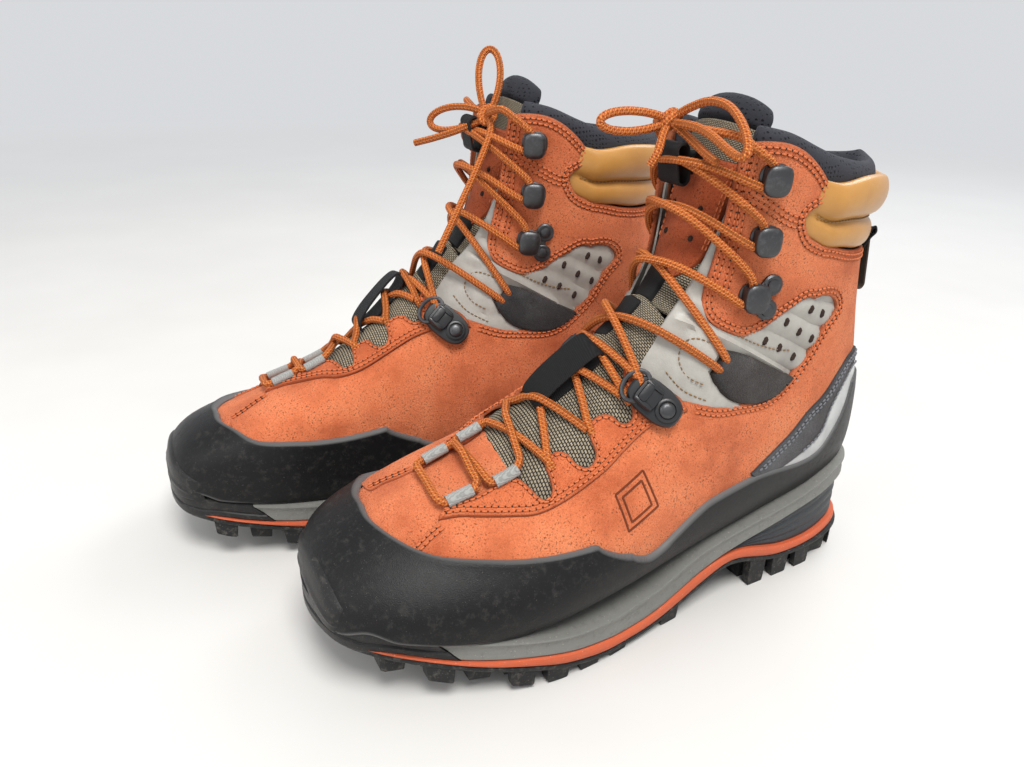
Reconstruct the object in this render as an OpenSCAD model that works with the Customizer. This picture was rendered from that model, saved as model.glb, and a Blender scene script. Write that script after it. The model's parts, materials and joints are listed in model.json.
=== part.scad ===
// Pair of lace-up mountaineering boots: suede uppers on lugged soles.
// Each boot is drawn in its own frame: X to the outer side, Y back to the heel, Z up,
// then placed on the floor. Profile points are [distance ahead of the heel, height].

/* [Size] */
// Length of one boot over its sole
boot_length = 300; // [282:2:318]
// Width of the upper across the ball of the foot
ball_width = 102; // [98:1:106]
// Height of the tongue's top edge
tongue_top = 240; // [234:1:244]

/* [Materials] */
// Thickness of the suede panels
suede_thickness = 1.8; // [1.4:0.1:2]
// Thickness of the rubber rand around the foot
rand_thickness = 1.8; // [1.4:0.1:2.2]
// Thickness of the padded membrane lining
lining_thickness = 2.2; // [1.6:0.1:3]
// Thickness of the lasting board
board_thickness = 2; // [1.6:0.1:2.4]
// Thickness of the removable footbed
footbed_thickness = 4; // [3:0.5:5]
// Diameter of the round laces
lace_diameter = 3.8; // [3:0.1:4]

/* [Sole] */
// Thickness of the outsole's base above its lugs
outsole_base = 3; // [2.4:0.1:3.4]
// Distance from one row of lugs to the next
lug_pitch = 17; // [15:1:20]
// Length of one lug along the foot
lug_length = 11; // [8:1:12]
// Width of the steel shank in the midsole
shank_width = 20; // [14:1:26]
// Thickness of the steel shank
shank_thickness = 1.2; // [1:0.1:1.6]

/* [Hardware] */
// Width of a lace hook
hook_width = 10; // [8:0.5:12]
// Thickness of the pressed steel hooks
hook_steel = 1.2; // [1:0.1:1.4]
// Diameter of the rivet heads
rivet_diameter = 7; // [6:0.5:8]
// Length of a lace lock plate
lock_length = 30; // [28:1:32]
// Width of a lace lock plate
lock_width = 18; // [16:1:19]

/* [Stance] */
// Distance of the left boot from the middle of the pair
left_offset = 68.1; // [64:0.1:90]
// Distance of the right boot from the middle of the pair
right_offset = 61.9; // [60:0.1:90]
// How far the left boot stands behind the middle of the pair
left_setback = 20.2; // [0:0.1:30]
// How far the right boot stands ahead of the middle of the pair
right_lead = 19.1; // [0:0.1:30]
// Outward turn of the right boot
right_turn = 6; // [0:0.5:8]

/* [Hidden] */

design_length = 300;
design_ball_width = 102;
width_scale = ball_width / design_ball_width;
half_length = design_length / 2;
reach = 200;
gap = 0.4;

// The last: loops that fan from the toe tip over the instep to the collar.
// Front ridge and back or bottom point of each loop
front_line = [[299, 47], [296, 57], [286, 66], [268, 74], [243, 84], [214, 95.5], [186, 113.5],
    [165, 132], [150, 148], [141, 163], [136, 177], [133, 191], [131, 203], [129, 215],
    [128, 227], [127, 239], [126, 251]];
back_line = [[299, 42], [297, 30], [288, 26], [272, 23], [246, 21], [212, 21], [170, 25],
    [122, 30], [74, 34], [28, 37], [4, 48], [-3, 76], [2, 108], [9, 138], [13, 166],
    [10, 192], [5, 214]];
// Half widths of each loop on the outer and inner side of the foot
outer_half = [4, 21, 33, 43, 50, 54, 52, 46, 42, 39, 37, 36.5, 37, 38, 39.5, 40.5, 41];
inner_half = [4, 26, 39, 46, 49, 48, 44, 41, 40, 38, 36, 36, 37, 38, 39.5, 40.5, 41];
// Where each loop is widest, as a share of the way from back to front
widest = [0.5, 0.42, 0.38, 0.36, 0.34, 0.33, 0.33, 0.36, 0.4, 0.46, 0.5, 0.52, 0.52, 0.52,
    0.52, 0.52, 0.52];
// Roundness exponents: 2 is an ellipse, more is boxier, less is sharper
outer_front_round = [2, 2.1, 2, 1.85, 1.7, 1.6, 1.6, 1.7, 1.9, 2.1, 2.3, 2.4, 2.5, 2.5, 2.5,
    2.5, 2.5];
inner_front_round = [2, 2.2, 2.2, 2.1, 2, 1.9, 1.8, 1.8, 1.9, 2.1, 2.3, 2.4, 2.5, 2.5, 2.5,
    2.5, 2.5];
back_round = [2, 2.4, 2.6, 2.8, 3, 3, 3, 3, 2.8, 2.5, 2.2, 1.9, 1.8, 1.8, 1.8, 1.8, 1.8];
// Shift of the ridge towards the big toe
ridge_shift = [-8, -9, -10, -12, -13, -12, -9, -4, 0, 0, 0, 0, 0, 0, 0, 0, 0];
last_top = len(front_line) - 1;
// Depth of the shank's underside below the midsole's rim
shank_depth = 2.2;

// Profile lines seen from the side, from heel to toe
feather_line = [[-20, 56], [10, 55.5], [33, 52], [57, 46.5], [85, 42], [112, 37.5], [125, 34.5],
    [150, 26], [175, 23], [198, 23.6], [219, 27], [236, 30], [262, 34], [290, 39], [320, 44]];
midsole_base = [[-20, 46], [21, 44], [43, 40.5], [69, 35.8], [96, 30.4], [110, 27.4], [123, 23],
    [135, 18], [148, 13.6], [161, 11.8], [174, 11.6], [198, 13.8], [218, 18], [236, 20.6],
    [262, 24.9], [290, 30], [320, 36]];
stripe_top = [[-20, 21], [10, 20], [32, 19], [46, 18.2], [58, 18.5], [69, 20.1], [81, 23.4],
    [92, 26.5], [106, 27.4], [123, 22.8], [135, 17.8], [148, 13.4], [161, 11.6], [174, 11.4],
    [198, 13.6], [218, 17.8], [236, 20.4], [262, 24.7], [290, 29.8], [320, 35.8]];
outsole_top = [[-20, 16], [10, 15.5], [30, 14.4], [57, 13.7], [68, 14.7], [80, 17.4], [95, 22],
    [105, 22.9], [122, 15.8], [134, 11], [148, 7.2], [160, 5.6], [173, 5.6], [186, 6],
    [208, 9.9], [218, 13], [236, 16.8], [262, 22.9], [290, 28.4], [320, 34]];
// Height of the lasting board's underside
insole_line = [[-20, 56.4], [10, 55.9], [33, 52.4], [57, 46.9], [85, 42.6], [112, 40.4], [135, 38],
    [160, 35], [190, 32.2], [215, 30.6], [236, 31], [262, 35], [290, 39.6], [320, 44.6]];
// Where the toe block reaches down past the stripe, ahead of the heel
toe_block_back = 281.4;
// Slanted toe end of the midsole, from its top to its bottom
midsole_toe = [[262, 60], [262, 34], [251, 22], [251, 0]];
ground_line = [[-20, 0], [205, 0], [214, 0.6], [230, 4], [245, 7.5], [260, 11], [280, 15.5],
    [320, 25]];
rand_top = [[-20, 105], [12, 105], [22, 103.5], [26, 93.3], [36.8, 80], [48.7, 70], [62, 68.4],
    [82, 69.4], [97.6, 69.5], [121.6, 66], [132, 62.6], [144, 56.7], [158.6, 51.5],
    [168, 53], [186, 61.3], [191, 64], [216, 64], [232, 64.2], [254, 65.3], [266, 68.2],
    [272, 71], [272, 110], [330, 110]];
vamp_seam = [[330, 60], [261, 60], [261, 67.7], [248, 74.6], [233, 76.7], [209, 80], [192, 86.5],
    [170, 97.7], [159, 103], [153, 112], [150, 122], [150, 150], [330, 150]];
// Top edge of the quarters below the ankle, and lower edge of the cuff above it
quarter_top = [[56, 143], [55, 140], [64.5, 130], [73, 120.6], [82, 112.6], [93, 108.2],
    [109, 108.5], [120, 109.4], [131, 112], [140, 116], [150, 122]];
cuff_bottom = [[56.4, 150], [71, 153], [82, 150], [91.5, 144], [99, 140], [107, 138.6],
    [118.5, 143], [125.4, 149.7], [128, 157], [150, 165]];
cuff_top = [[150, 225], [101, 224], [91, 221], [82, 214], [75, 205], [76, 199], [84, 194],
    [84.5, 191], [81, 184], [77, 179.5], [68, 177.5], [49, 173], [-20, 170]];
flex_cuff_outline = [[-20, 171], [49, 174], [68, 178.5], [76, 180.5], [80, 184.5], [83.5, 191],
    [75.5, 198], [74, 203], [60, 206], [50, 206], [20, 204], [-20, 203]];
heel_overlay_outline = [[97, 71], [74, 85.3], [61, 95.5], [46, 105.2], [34, 114], [20, 119],
    [-20, 121], [-20, 106], [22.5, 105], [27, 94], [37.5, 81], [49, 71], [62, 69.2], [82, 70.2]];
ankle_strap_outline = [[116, 133], [107, 133.5], [93, 125], [80, 118], [84, 113.4], [94, 109.6],
    [108, 109.8], [120, 112], [121, 122]];
collar_rim = [[150, 228], [112, 228], [94, 225], [84, 221], [70, 216], [50, 211], [20, 207],
    [-20, 205]];

// Edges of the throat: [station on the last, angle from the ridge]
throat_outer = [[4.8, 30], [5, 34], [5.4, 36], [6.2, 35], [7, 34], [7.5, 36], [9, 36], [16, 36]];
throat_inner = [[4.8, 4], [5, -3], [5.4, -11], [6.2, -15], [7, -25], [7.5, -32], [9, -36],
    [16, -36]];
throat_stations = [4.8, 5, 5.4, 6.2, 7, 7.5, 8, 9, 10, 11, 12, 13, 14, 15, 16];

// Offsets of the layers from the last, in order from the inside out
lining_outside = -5.4;
stiffener_outside = -4.1;
stiffener_thickness = 1;
suede_outside = -1.2;
suede_inside = suede_outside - suede_thickness;
overlay_outside = 0.2;
overlay_thickness = 1;
rand_inside = -0.6;
rand_outside = rand_inside + rand_thickness;
flex_outside = -2.2;
flex_thickness = 1.1;
throat_mesh_outside = -3.7;
throat_mesh_thickness = 1.2;
strap_outside = 0.4;
strap_thickness = 1.4;
flex_cuff_outside = 1;
flex_cuff_thickness = 5.4;
collar_thickness = 5;
// Room round the lasting board and the footbed, inside the lining
board_room = 0.6;
footbed_room = 1.2;
footbed_lift = 0.3;

// Pull loop hanging from the back of the cuff
heel_loop_y = 140;
heel_loop_top = 172;
heel_loop_length = 29;

// Colours
suede_orange = [0.85, 0.38, 0.2];
rubber_black = [0.13, 0.13, 0.14];
stripe_orange = [0.86, 0.36, 0.2];
sole_grey = [0.62, 0.63, 0.61];
insert_grey = [0.24, 0.26, 0.28];
panel_grey = [0.76, 0.75, 0.72];
slate_suede = [0.33, 0.35, 0.38];
gold_leather = [0.93, 0.74, 0.38];
mesh_black = [0.12, 0.12, 0.15];
check_mesh = [0.55, 0.5, 0.42];
lace_orange = [0.93, 0.52, 0.2];
gun_metal = [0.35, 0.35, 0.37];
webbing_grey = [0.72, 0.72, 0.7];

// Smooth value of a list at a fractional index
function curve(list, t) =
    let (
        n = len(list) - 1,
        i = min(max(floor(t), 0), n - 1),
        f = t - i,
        a = list[max(i - 1, 0)],
        b = list[i],
        c = list[i + 1],
        d = list[min(i + 2, n)])
    0.5 * (2 * b + (c - a) * f + (2 * a - 5 * b + 4 * c - d) * f * f
        + (3 * b - a - 3 * c + d) * f * f * f);

// Power that keeps the sign of its base
function signed_power(x, p) = sign(x) * pow(abs(x), p);

// Point of the last at station t and angle v, where v is 0 on the ridge and 180 at the back
function last_point(t, v) =
    let (
        front = curve(front_line, t),
        back = curve(back_line, t),
        mid = curve(widest, t),
        half = width_scale * curve(v >= 0 ? outer_half : inner_half, t),
        front_round = curve(v >= 0 ? outer_front_round : inner_front_round, t),
        c = cos(v),
        p = 2 / (c >= 0 ? front_round : curve(back_round, t)),
        share = c >= 0 ? mid + (1 - mid) * pow(c, p) : mid - mid * pow(-c, p),
        side = half * signed_power(sin(v), p) + curve(ridge_shift, t) * pow(max(c, 0), 1.5),
        at = back + (front - back) * share)
    [side, half_length - at[0], at[1]];

function unit(a) = a / norm(a);
function last_normal(t, v) =
    let (
        h = 0.04,
        along = last_point(min(t + h, last_top), v) - last_point(max(t - h, 0), v),
        around = last_point(t, v + 20 * h) - last_point(t, v - 20 * h))
    unit(cross(around, along));
// Point at a distance outside the last
function skin(t, v, distance) = last_point(t, v) + distance * last_normal(t, v);
function mean(points) =
    [for (k = [0:2]) [for (p = points) p[k]] * [for (p = points) 1] / len(points)];

// Solid through equal rings of points, closed at both ends with a fan
module loft(rings) {
    n = len(rings[0]);
    m = len(rings);
    points = concat([for (r = rings) each r], [mean(rings[0])], [mean(rings[m - 1])]);
    sides = [for (i = [0:m - 2], j = [0:n - 1])
        let (k = (j + 1) % n)
        each [[i * n + j, (i + 1) * n + k, i * n + k], [i * n + j, (i + 1) * n + j, (i + 1) * n + k]]];
    start = [for (j = [0:n - 1]) [m * n, j, (j + 1) % n]];
    end = [for (j = [0:n - 1]) [m * n + 1, (m - 1) * n + (j + 1) % n, (m - 1) * n + j]];
    polyhedron(points, concat(sides, start, end));
}

// The whole last grown by a distance, starting at a station clear of the toe tip
module last_volume(distance, first = 0, turns = 20) {
    stations = concat([first], [for (t = [ceil(first + 0.2):last_top]) t]);
    loft([for (t = stations) [for (j = [0:turns - 1])
        skin(t, j < turns / 2 ? j * 360 / turns : (j - turns) * 360 / turns, distance)]]);
}

// Inner volumes start later, where the toe is wide enough for their inset
function first_station(distance) = max(0, -0.14 * distance);

// Layer of the upper between two distances from the last
module layer(outside, inside, turns = 20) {
    difference() {
        last_volume(outside, first_station(outside), turns);
        last_volume(inside, first_station(inside) + 0.05, turns);
    }
}

// Slab across the boot with an outline seen from the side
module side_slab(outline, half_width = 80) {
    translate([0, half_length, 0]) rotate([90, 0, -90])
        linear_extrude(2 * half_width, center = true) polygon(outline);
}

function raised(line, by) = [for (p = line) [p[0], p[1] + by]];
function reversed(list) = [for (i = [len(list) - 1:-1:0]) list[i]];
module above(line, by = 0) {
    side_slab(concat(raised(line, by), [[line[len(line) - 1][0], 300], [line[0][0], 300]]));
}
module below(line, by = 0) {
    side_slab(concat(raised(line, by), [[line[len(line) - 1][0], -50], [line[0][0], -50]]));
}
module between(low, low_by, high, high_by, half_width = 80) {
    side_slab(concat(raised(low, low_by), reversed(raised(high, high_by))), half_width);
}

// Wedge that opens the throat, wider by some degrees, from a station up
module throat_wedge(wider = 0, first = 4.8, last = 16) {
    stations = [for (t = throat_stations) if (t >= first && t <= last) t];
    loft([for (t = stations)
        let (
            outer = lookup(t, throat_outer) + wider,
            inner = lookup(t, throat_inner) - wider,
            core = last_point(t, (outer + inner) / 2) - 32 * last_normal(t, (outer + inner) / 2))
        [core, skin(t, inner, 14), skin(t, (outer + inner) / 2, 40), skin(t, outer, 14)]]);
}

// Outline of the sole from above, smaller by an inset
sole_outer = [[300, -8], [296, 14], [286, 27], [268, 38.5], [243, 48.5], [214, 53.5], [186, 52],
    [163, 48], [130, 42.5], [100, 40], [70, 38.5], [40, 36.5], [20, 31], [8, 22], [2, 10]];
sole_inner = [[0, 0], [2, -9], [8, -20], [20, -30], [40, -35.5], [70, -36.5], [100, -36],
    [130, -36.5], [160, -39.5], [186, -44.5], [214, -49], [243, -50.5], [268, -46.5],
    [286, -38.5], [296, -28]];
module sole_prism(inset) {
    middle = -4;
    outline = [for (p = concat(sole_outer, sole_inner))
        let (a = [p[0] - half_length, p[1] * width_scale - middle], r = norm(a))
        [middle + a[1] * (1 - inset / r), -a[0] * (1 - inset / r)]];
    translate([0, 0, -5]) linear_extrude(80) polygon(outline);
}

// Round cord or tube with a few sides along a list of points
module cord(path, diameter, sides = 5) {
    n = len(path) - 1;
    frames = [for (i = [0:n])
        let (
            d = unit(path[min(i + 1, n)] - path[max(i - 1, 0)]),
            up = abs(d[2]) > 0.9 ? [0, 1, 0] : [0, 0, 1],
            a = unit(cross(d, up)),
            b = cross(d, a))
        [for (k = [0:sides - 1])
            path[i] + diameter / 2 * (cos(k * 360 / sides) * a + sin(k * 360 / sides) * b)]];
    loft(frames);
}

// Moves its children onto the last, with Z outwards and -X up the boot
module on_last(t, v, distance, spin = 0) {
    n = last_normal(t, v);
    translate(skin(t, v, distance))
        rotate([0, 90 - asin(n[2]), atan2(n[1], n[0])]) rotate([0, 0, spin]) children();
}

// ---- Sole unit ----

module lug_row(at, first_side, last_side) {
    step = 13;
    for (x = [first_side:step:last_side])
        translate([x + 1.5, half_length - at - lug_length / 2, -5])
            cube([step - 3, lug_length, 60]);
}

module outsole() {
    color(rubber_black) union() {
        intersection() {
            sole_prism(0);
            between(raised(outsole_top, -outsole_base), 0, outsole_top, 0);
        }
        intersection() {
            sole_prism(1);
            between(ground_line, 0, outsole_top, -1);
            union() {
                for (at = [12:lug_pitch:80]) lug_row(at, -45.5, 45);
                for (at = [140:lug_pitch:290]) lug_row(at, -58.5, 57);
            }
        }
        // Toe block in front of the midsole
        intersection() {
            sole_prism(0);
            between(stripe_top, 0.1, feather_line, -0.1);
            side_slab(concat([[320, 0]], [[320, 60]], midsole_toe));
            union() {
                side_slab([[200, 31], [320, 31], [320, 60], [200, 60]]);
                side_slab([[toe_block_back, 0], [320, 0], [320, 60], [toe_block_back, 60]]);
                between(midsole_base, 0, feather_line, 0);
            }
        }
        intersection() {
            sole_prism(0);
            side_slab([[toe_block_back, 24], [320, 24], [320, 40], [toe_block_back, 40]]);
            between(outsole_top, -1, feather_line, -1);
        }
        // Bumper that rises in front of the toe
        intersection() {
            difference() {
                translate([0, -3.4, 0]) last_volume(2.8);
                translate([0, -1.4, 0]) last_volume(1.6);
            }
            side_slab([[284, 36], [320, 36], [320, 66], [297, 66], [291, 55]]);
            translate([-30, -200, 0]) cube([44, 400, 100]);
        }
        // Root of the bumper below the rand
        intersection() {
            translate([0, -3.4, 0]) last_volume(2.8);
            side_slab([[toe_block_back, 26], [320, 26], [320, 42], [toe_block_back, 37]]);
        }
    }
}

module sole_stripe() {
    color(stripe_orange) intersection() {
        sole_prism(0.6);
        between(outsole_top, 0.1, stripe_top, -0.1);
        side_slab([[-20, 0], [281, 0], [281, 60], [-20, 60]]);
    }
}

module heel_insert() {
    color(insert_grey) intersection() {
        sole_prism(1.2);
        side_slab(concat([for (p = stripe_top) if (p[0] < 100) p + [0, 0.1]],
            [for (p = reversed(midsole_base)) if (p[0] < 100) p - [0, 0.1]]));
    }
}

module midsole() {
    color(sole_grey) difference() {
        intersection() {
            sole_prism(0);
            between(midsole_base, 0.1, feather_line, -0.1);
            side_slab(concat([[-20, 0], [-20, 60]], [for (p = midsole_toe) p - [0.3, 0]]));
        }
        shank_slab(0.15, 20);
    }
}

// Steel strip in a groove in the midsole's top, under the lasting board
module shank_slab(clearance, open_above = 0) {
    line = [for (p = feather_line) if (p[0] > 50 && p[0] < 200) p - [0, shank_depth]];
    side = shank_width / 2 + clearance;
    ends = [[line[0][0] - clearance, line[0][1]], [line[len(line) - 1][0] + clearance,
        line[len(line) - 1][1]]];
    side_slab(concat([ends[0] - [0, clearance]], raised(line, -clearance), [ends[1] - [0, clearance]],
        [ends[1] + [0, shank_thickness + open_above]],
        reversed(raised(line, shank_thickness + open_above)),
        [ends[0] + [0, shank_thickness + open_above]]), side);
}

module shank() {
    color("silver") shank_slab(0);
}

module lasting_board() {
    color([0.75, 0.68, 0.52]) intersection() {
        last_volume(lining_outside - lining_thickness - board_room, 1.3, 16);
        between(insole_line, 0, insole_line, board_thickness);
    }
}

module footbed() {
    color([0.3, 0.32, 0.36]) intersection() {
        last_volume(lining_outside - lining_thickness - footbed_room, 1.4, 16);
        between(insole_line, board_thickness + footbed_lift, insole_line,
            board_thickness + footbed_lift + footbed_thickness);
    }
}

// ---- Upper below the ankle ----

module rand() {
    color(rubber_black) intersection() {
        difference() {
            last_volume(rand_outside);
            last_volume(rand_inside, 0.1);
        }
        between(feather_line, 0.1, feather_line, 90);
        below(rand_top, -0.2);
    }
}

module toe_puff() {
    color([0.85, 0.83, 0.76]) intersection() {
        layer(stiffener_outside, stiffener_outside - stiffener_thickness, 16);
        above(feather_line, 0.4);
        side_slab([[252, 0], [320, 0], [320, 120], [252, 120]]);
    }
}

module heel_counter() {
    color([0.85, 0.83, 0.76]) intersection() {
        layer(stiffener_outside, stiffener_outside - stiffener_thickness, 16);
        above(feather_line, 0.4);
        side_slab([[-20, 40], [75, 40], [70, 75], [40, 100], [-20, 112]]);
    }
}

module lining() {
    color([0.2, 0.21, 0.24]) intersection() {
        difference() {
            layer(lining_outside, lining_outside - lining_thickness, 16);
            throat_wedge(6);
        }
        above(feather_line, 0.4);
        side_slab([[-20, 0], [320, 0], [320, 140], [150, 140], [-20, 140]]);
    }
}

module vamp() {
    color(suede_orange) intersection() {
        difference() {
            layer(suede_outside, suede_inside);
            throat_wedge();
            below(feather_line, 0.4);
        }
        side_slab(vamp_seam);
    }
}

module quarters() {
    color(suede_orange) intersection() {
        difference() {
            layer(suede_outside, suede_inside);
            throat_wedge();
            below(feather_line, 0.4);
            translate([0, gap, -gap]) side_slab(vamp_seam);
        }
        side_slab(concat([[-20, 0], [-20, 143]], quarter_top, [[260, 122], [260, 0]]));
    }
}

module heel_overlay() {
    color(slate_suede) intersection() {
        layer(overlay_outside, overlay_outside - overlay_thickness);
        side_slab(heel_overlay_outline);
    }
}

module back_strip() {
    color(gold_leather) intersection() {
        layer(overlay_outside, overlay_outside - overlay_thickness);
        side_slab([[-20, 121.6], [30, 119.6], [30, 169], [-20, 169]]);
        translate([-12, -reach, 0]) cube([24, 2 * reach, 300]);
    }
}

module flex_panels() {
    ankle = concat(quarter_top, reversed(cuff_bottom));
    color(panel_grey) difference() {
        intersection() {
            layer(flex_outside, flex_outside - flex_thickness);
            side_slab(ankle);
            translate([0, -0.3, -0.4]) side_slab(ankle);
            translate([0, 0.3, 0.4]) side_slab(ankle);
        }
        throat_wedge(-10, 7);
    }
}

module throat_mesh() {
    color(check_mesh) intersection() {
        layer(throat_mesh_outside, throat_mesh_outside - throat_mesh_thickness);
        throat_wedge(5, 4.8, 8);
        side_slab([[150, 60], [260, 60], [260, 150], [165, 150], [150, 134]]);
    }
}

// ---- Cuff above the ankle ----

module cuff() {
    color(suede_orange) intersection() {
        difference() {
            layer(suede_outside, suede_inside);
            throat_wedge();
        }
        side_slab(concat([[-20, 151]], cuff_bottom, cuff_top));
    }
}

module flex_cuff() {
    color(gold_leather) intersection() {
        layer(flex_cuff_outside, flex_cuff_outside - flex_cuff_thickness, 16);
        side_slab(flex_cuff_outline);
    }
}

module collar() {
    color(mesh_black) intersection() {
        difference() {
            layer(lining_outside, lining_outside - collar_thickness, 16);
            throat_wedge(19, 8);
        }
        side_slab(concat([[-20, 152], [150, 165]], collar_rim));
    }
}

// Band across the front of the leg: a path of [ahead, height, half width, thickness]
tongue_path = [[145, 154, 24, 6], [136, 168, 26, 8], [130, 184, 28, 9], [126, 200, 29, 9],
    [122, 215, 30, 9], [118, 228, 31, 9], [113, 237, 31, 8], [106, 243, 30, 6]];
module front_band(path, first, last, lift, share, thick) {
    steps = 8;
    sweep = 52;
    rise = tongue_top - tongue_path[len(tongue_path) - 1][1] - 2;
    loft([for (i = [first:last])
        let (
            p = path[i],
            d = path[min(i + 1, len(path) - 1)] - path[max(i - 1, 0)],
            n = unit([d[1], -d[0]]),
            k = i / (len(path) - 1))
        concat(
            [for (j = [0:steps])
                let (a = sweep * share * (2 * j / steps - 1), r = p[2] / sin(sweep) + lift)
                [r * sin(a), half_length - p[0] - n[0] * (lift + r * (cos(a) - 1)),
                    p[1] + rise * k + n[1] * (lift + r * (cos(a) - 1))]],
            [for (j = [steps:-1:0])
                let (
                    a = sweep * share * (2 * j / steps - 1),
                    w = thick > 0 ? thick : p[3],
                    r = p[2] / sin(sweep) + lift - w)
                [r * sin(a), half_length - p[0] - n[0] * (lift - w + r * (cos(a) - 1)),
                    p[1] + rise * k + n[1] * (lift - w + r * (cos(a) - 1))]])]);
}

module tongue() {
    color(mesh_black) front_band(tongue_path, 0, 7, -7.5, 0.86, 0);
}

module tongue_facing() {
    color(suede_orange) front_band(tongue_path, 0, 3, -5.6, 0.6, 1.4);
}

// ---- Lacing ----

// Loops on the tongue that keep the lace in the middle
module lace_keepers() {
    color(mesh_black) {
        translate([-3, half_length - 127.5, 211]) rotate([6, 0, 0]) keeper_loop(12, 16);
    }
}

module keeper_loop(width, height) {
    rotate([90, 0, 90]) linear_extrude(width, center = true) difference() {
        square([6.4, height], center = true);
        square([4.8, height - 2], center = true);
    }
}

// Toe loops for the lace, and the anchor straps at the ankle
toe_loops = [[4.08, 31, 4.4], [4.8, 32.5, 5.05], [4.08, 0, 4.38], [4.68, -2, 4.94]];
module webbing_loops() {
    color(webbing_grey) {
        for (p = toe_loops)
            difference() {
                cord([skin(p[0], p[1], 2.4), skin(p[2], p[1], 2.4)], 6.4, 8);
                cord([skin(2 * p[0] - p[2], p[1], 2.4), skin(2 * p[2] - p[0], p[1], 2.4)], 5, 8);
            }
    }
    color([0.2, 0.2, 0.22]) intersection() {
        layer(strap_outside, strap_outside - strap_thickness);
        side_slab(ankle_strap_outline);
    }
}

module lock_plate() {
    straight = (lock_length - lock_width) / 2;
    color(rubber_black) difference() {
        linear_extrude(3) union() {
            square([2 * straight, lock_width], center = true);
            for (x = [-straight, straight]) translate([x, 0]) circle(d = lock_width, $fn = 32);
        }
        translate([straight - 1, 0, -1]) cylinder(d = rivet_diameter + 0.4, h = 5, $fn = 32);
    }
}
lock_station = 7.3;
lock_angles = [43, -41];
module lock_plates() {
    for (v = lock_angles) on_last(lock_station, v, 2.6, v > 0 ? 30 : -30) lock_plate();
}

module rivet(length) {
    color(gun_metal) union() {
        cylinder(d = rivet_diameter, h = length, $fn = 32);
        cylinder(d = 3, h = length + 0.6, $fn = 32);
    }
}
module lock_rivets() {
    straight = (lock_length - lock_width) / 2;
    for (v = lock_angles) on_last(lock_station, v, 2.6, v > 0 ? 30 : -30)
        translate([straight - 1, 0, 0]) rivet(3.4);
}

// Open hook: base, stem on the throat side and lip, seen along the boot's height
module hook_profile() {
    stem = 6.8;
    reach_back = 9;
    polygon([[-3, 0], [reach_back, 0], [reach_back, hook_steel], [-3 + hook_steel, hook_steel],
        [-3 + hook_steel, stem - hook_steel], [6, stem - hook_steel], [6.6, stem], [-3, stem]]);
}
module lace_hook(side, double_rivet) {
    color(gun_metal) {
        rotate([0, 0, side > 0 ? 0 : 180]) rotate([90, 0, 90])
            linear_extrude(hook_width, center = true) hook_profile();
        if (double_rivet) for (x = [4, 12])
            translate([x, side * 4.5, 0]) cylinder(d = 8.5, h = hook_steel, $fn = 32);
    }
}
// Station and angle of each hook, from the ankle up; the lowest has two rivets
hook_places = [[10.5, 60], [12, 61], [13.62, 60]];
module lace_hooks() {
    for (side = [1, -1], i = [0:2])
        on_last(hook_places[i][0], side * hook_places[i][1], 0.6) lace_hook(side, i == 0);
}

// Strand from one side of the throat to the other, bowed over the ridge
function strand(from, to, lift) =
    let (steps = 4)
    [for (i = [0:steps])
        let (f = i / steps, v = from[1] + (to[1] - from[1]) * f)
        skin(from[0] + (to[0] - from[0]) * f, v, from[2] + (to[2] - from[2]) * f
            + lift * sin(180 * f))];

module lace_lower() {
    color(lace_orange) {
        cord(strand([4, 1, 3.6], [4, 29, 3.6], 1.5), lace_diameter);
        cord(strand([4.5, 1, 3], [4.72, 30, 4], 2.5), lace_diameter);
        cord(strand([4.5, 30, 4], [4.62, 1, 4], 5), lace_diameter);
        cord(strand([5.1, 1, 3], [5.5, 36, 4], 3), lace_diameter);
        cord(strand([5.14, 31, 4], [5.6, -10, 4], 6), lace_diameter);
        cord(strand([5.7, -8, 4], [6.3, 33, 4], 3), lace_diameter);
        cord(strand([5.8, 33, 4], [6.3, -14, 4], 6), lace_diameter);
        cord(strand([6.5, 33, 5], [7.05, -26, 8], 5), lace_diameter);
        cord(strand([6.5, -16, 5], [7.05, 28, 8], 7), lace_diameter);
    }
}

module lace_upper() {
    color(lace_orange) {
        for (side = [1, -1], i = [0:2]) {
            t = hook_places[i][0];
            v = side * hook_places[i][1];
            low = strand([t - 0.66, side * 30, 4], [t - 0.58, v - side * 5, 4], 2);
            high = strand([t + 0.58, v - side * 5, 4], [t + 0.66, side * 30, 4], 2);
            turn = [for (a = [-75:30:75]) skin(t + 0.58 * sin(a), v + side * 5 * cos(a), 4)];
            cord(concat(low, turn, high), lace_diameter);
        }
        for (side = [1, -1])
            cord(strand([11.1, side * 30, 5], [12.9, -side * 30, 5], 4), lace_diameter);
        for (side = [1, -1])
            cord(strand([9.6, side * 30, 5], [11.4, -side * 30, 5], 4), lace_diameter);
        bow();
    }
}

// Knot and two loops of the bow in front of the tongue
module bow() {
    knot = skin(14.1, 0, 9);
    cord([for (x = [-5:5:5]) knot + [x, 0, 0]], 9, 8);
    for (side = [1, -1])
        cord([for (a = [0:30:360])
            knot + [side * (5 + 21 * (1 - cos(a)) / 2 * 1.7), -5 - 6 * sin(a / 2),
                3 + 9 * sin(a) - 7 * (1 - cos(a)) / 2]], lace_diameter);
    for (side = [1, -1])
        cord(strand([14.1, side * 8, 8], [13.9, side * 34, 4.4], 0), lace_diameter);
}

module heel_loop() {
    color([0.25, 0.2, 0.16]) translate([0, heel_loop_y, heel_loop_top]) rotate([6, 0, 0])
        rotate([90, 0, 90]) linear_extrude(14, center = true) difference() {
            translate([0, -heel_loop_length]) square([6.4, heel_loop_length]);
            translate([1.4, 1.4 - heel_loop_length]) square([3.6, heel_loop_length - 2.8]);
        }
}

// ---- Placing ----

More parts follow.
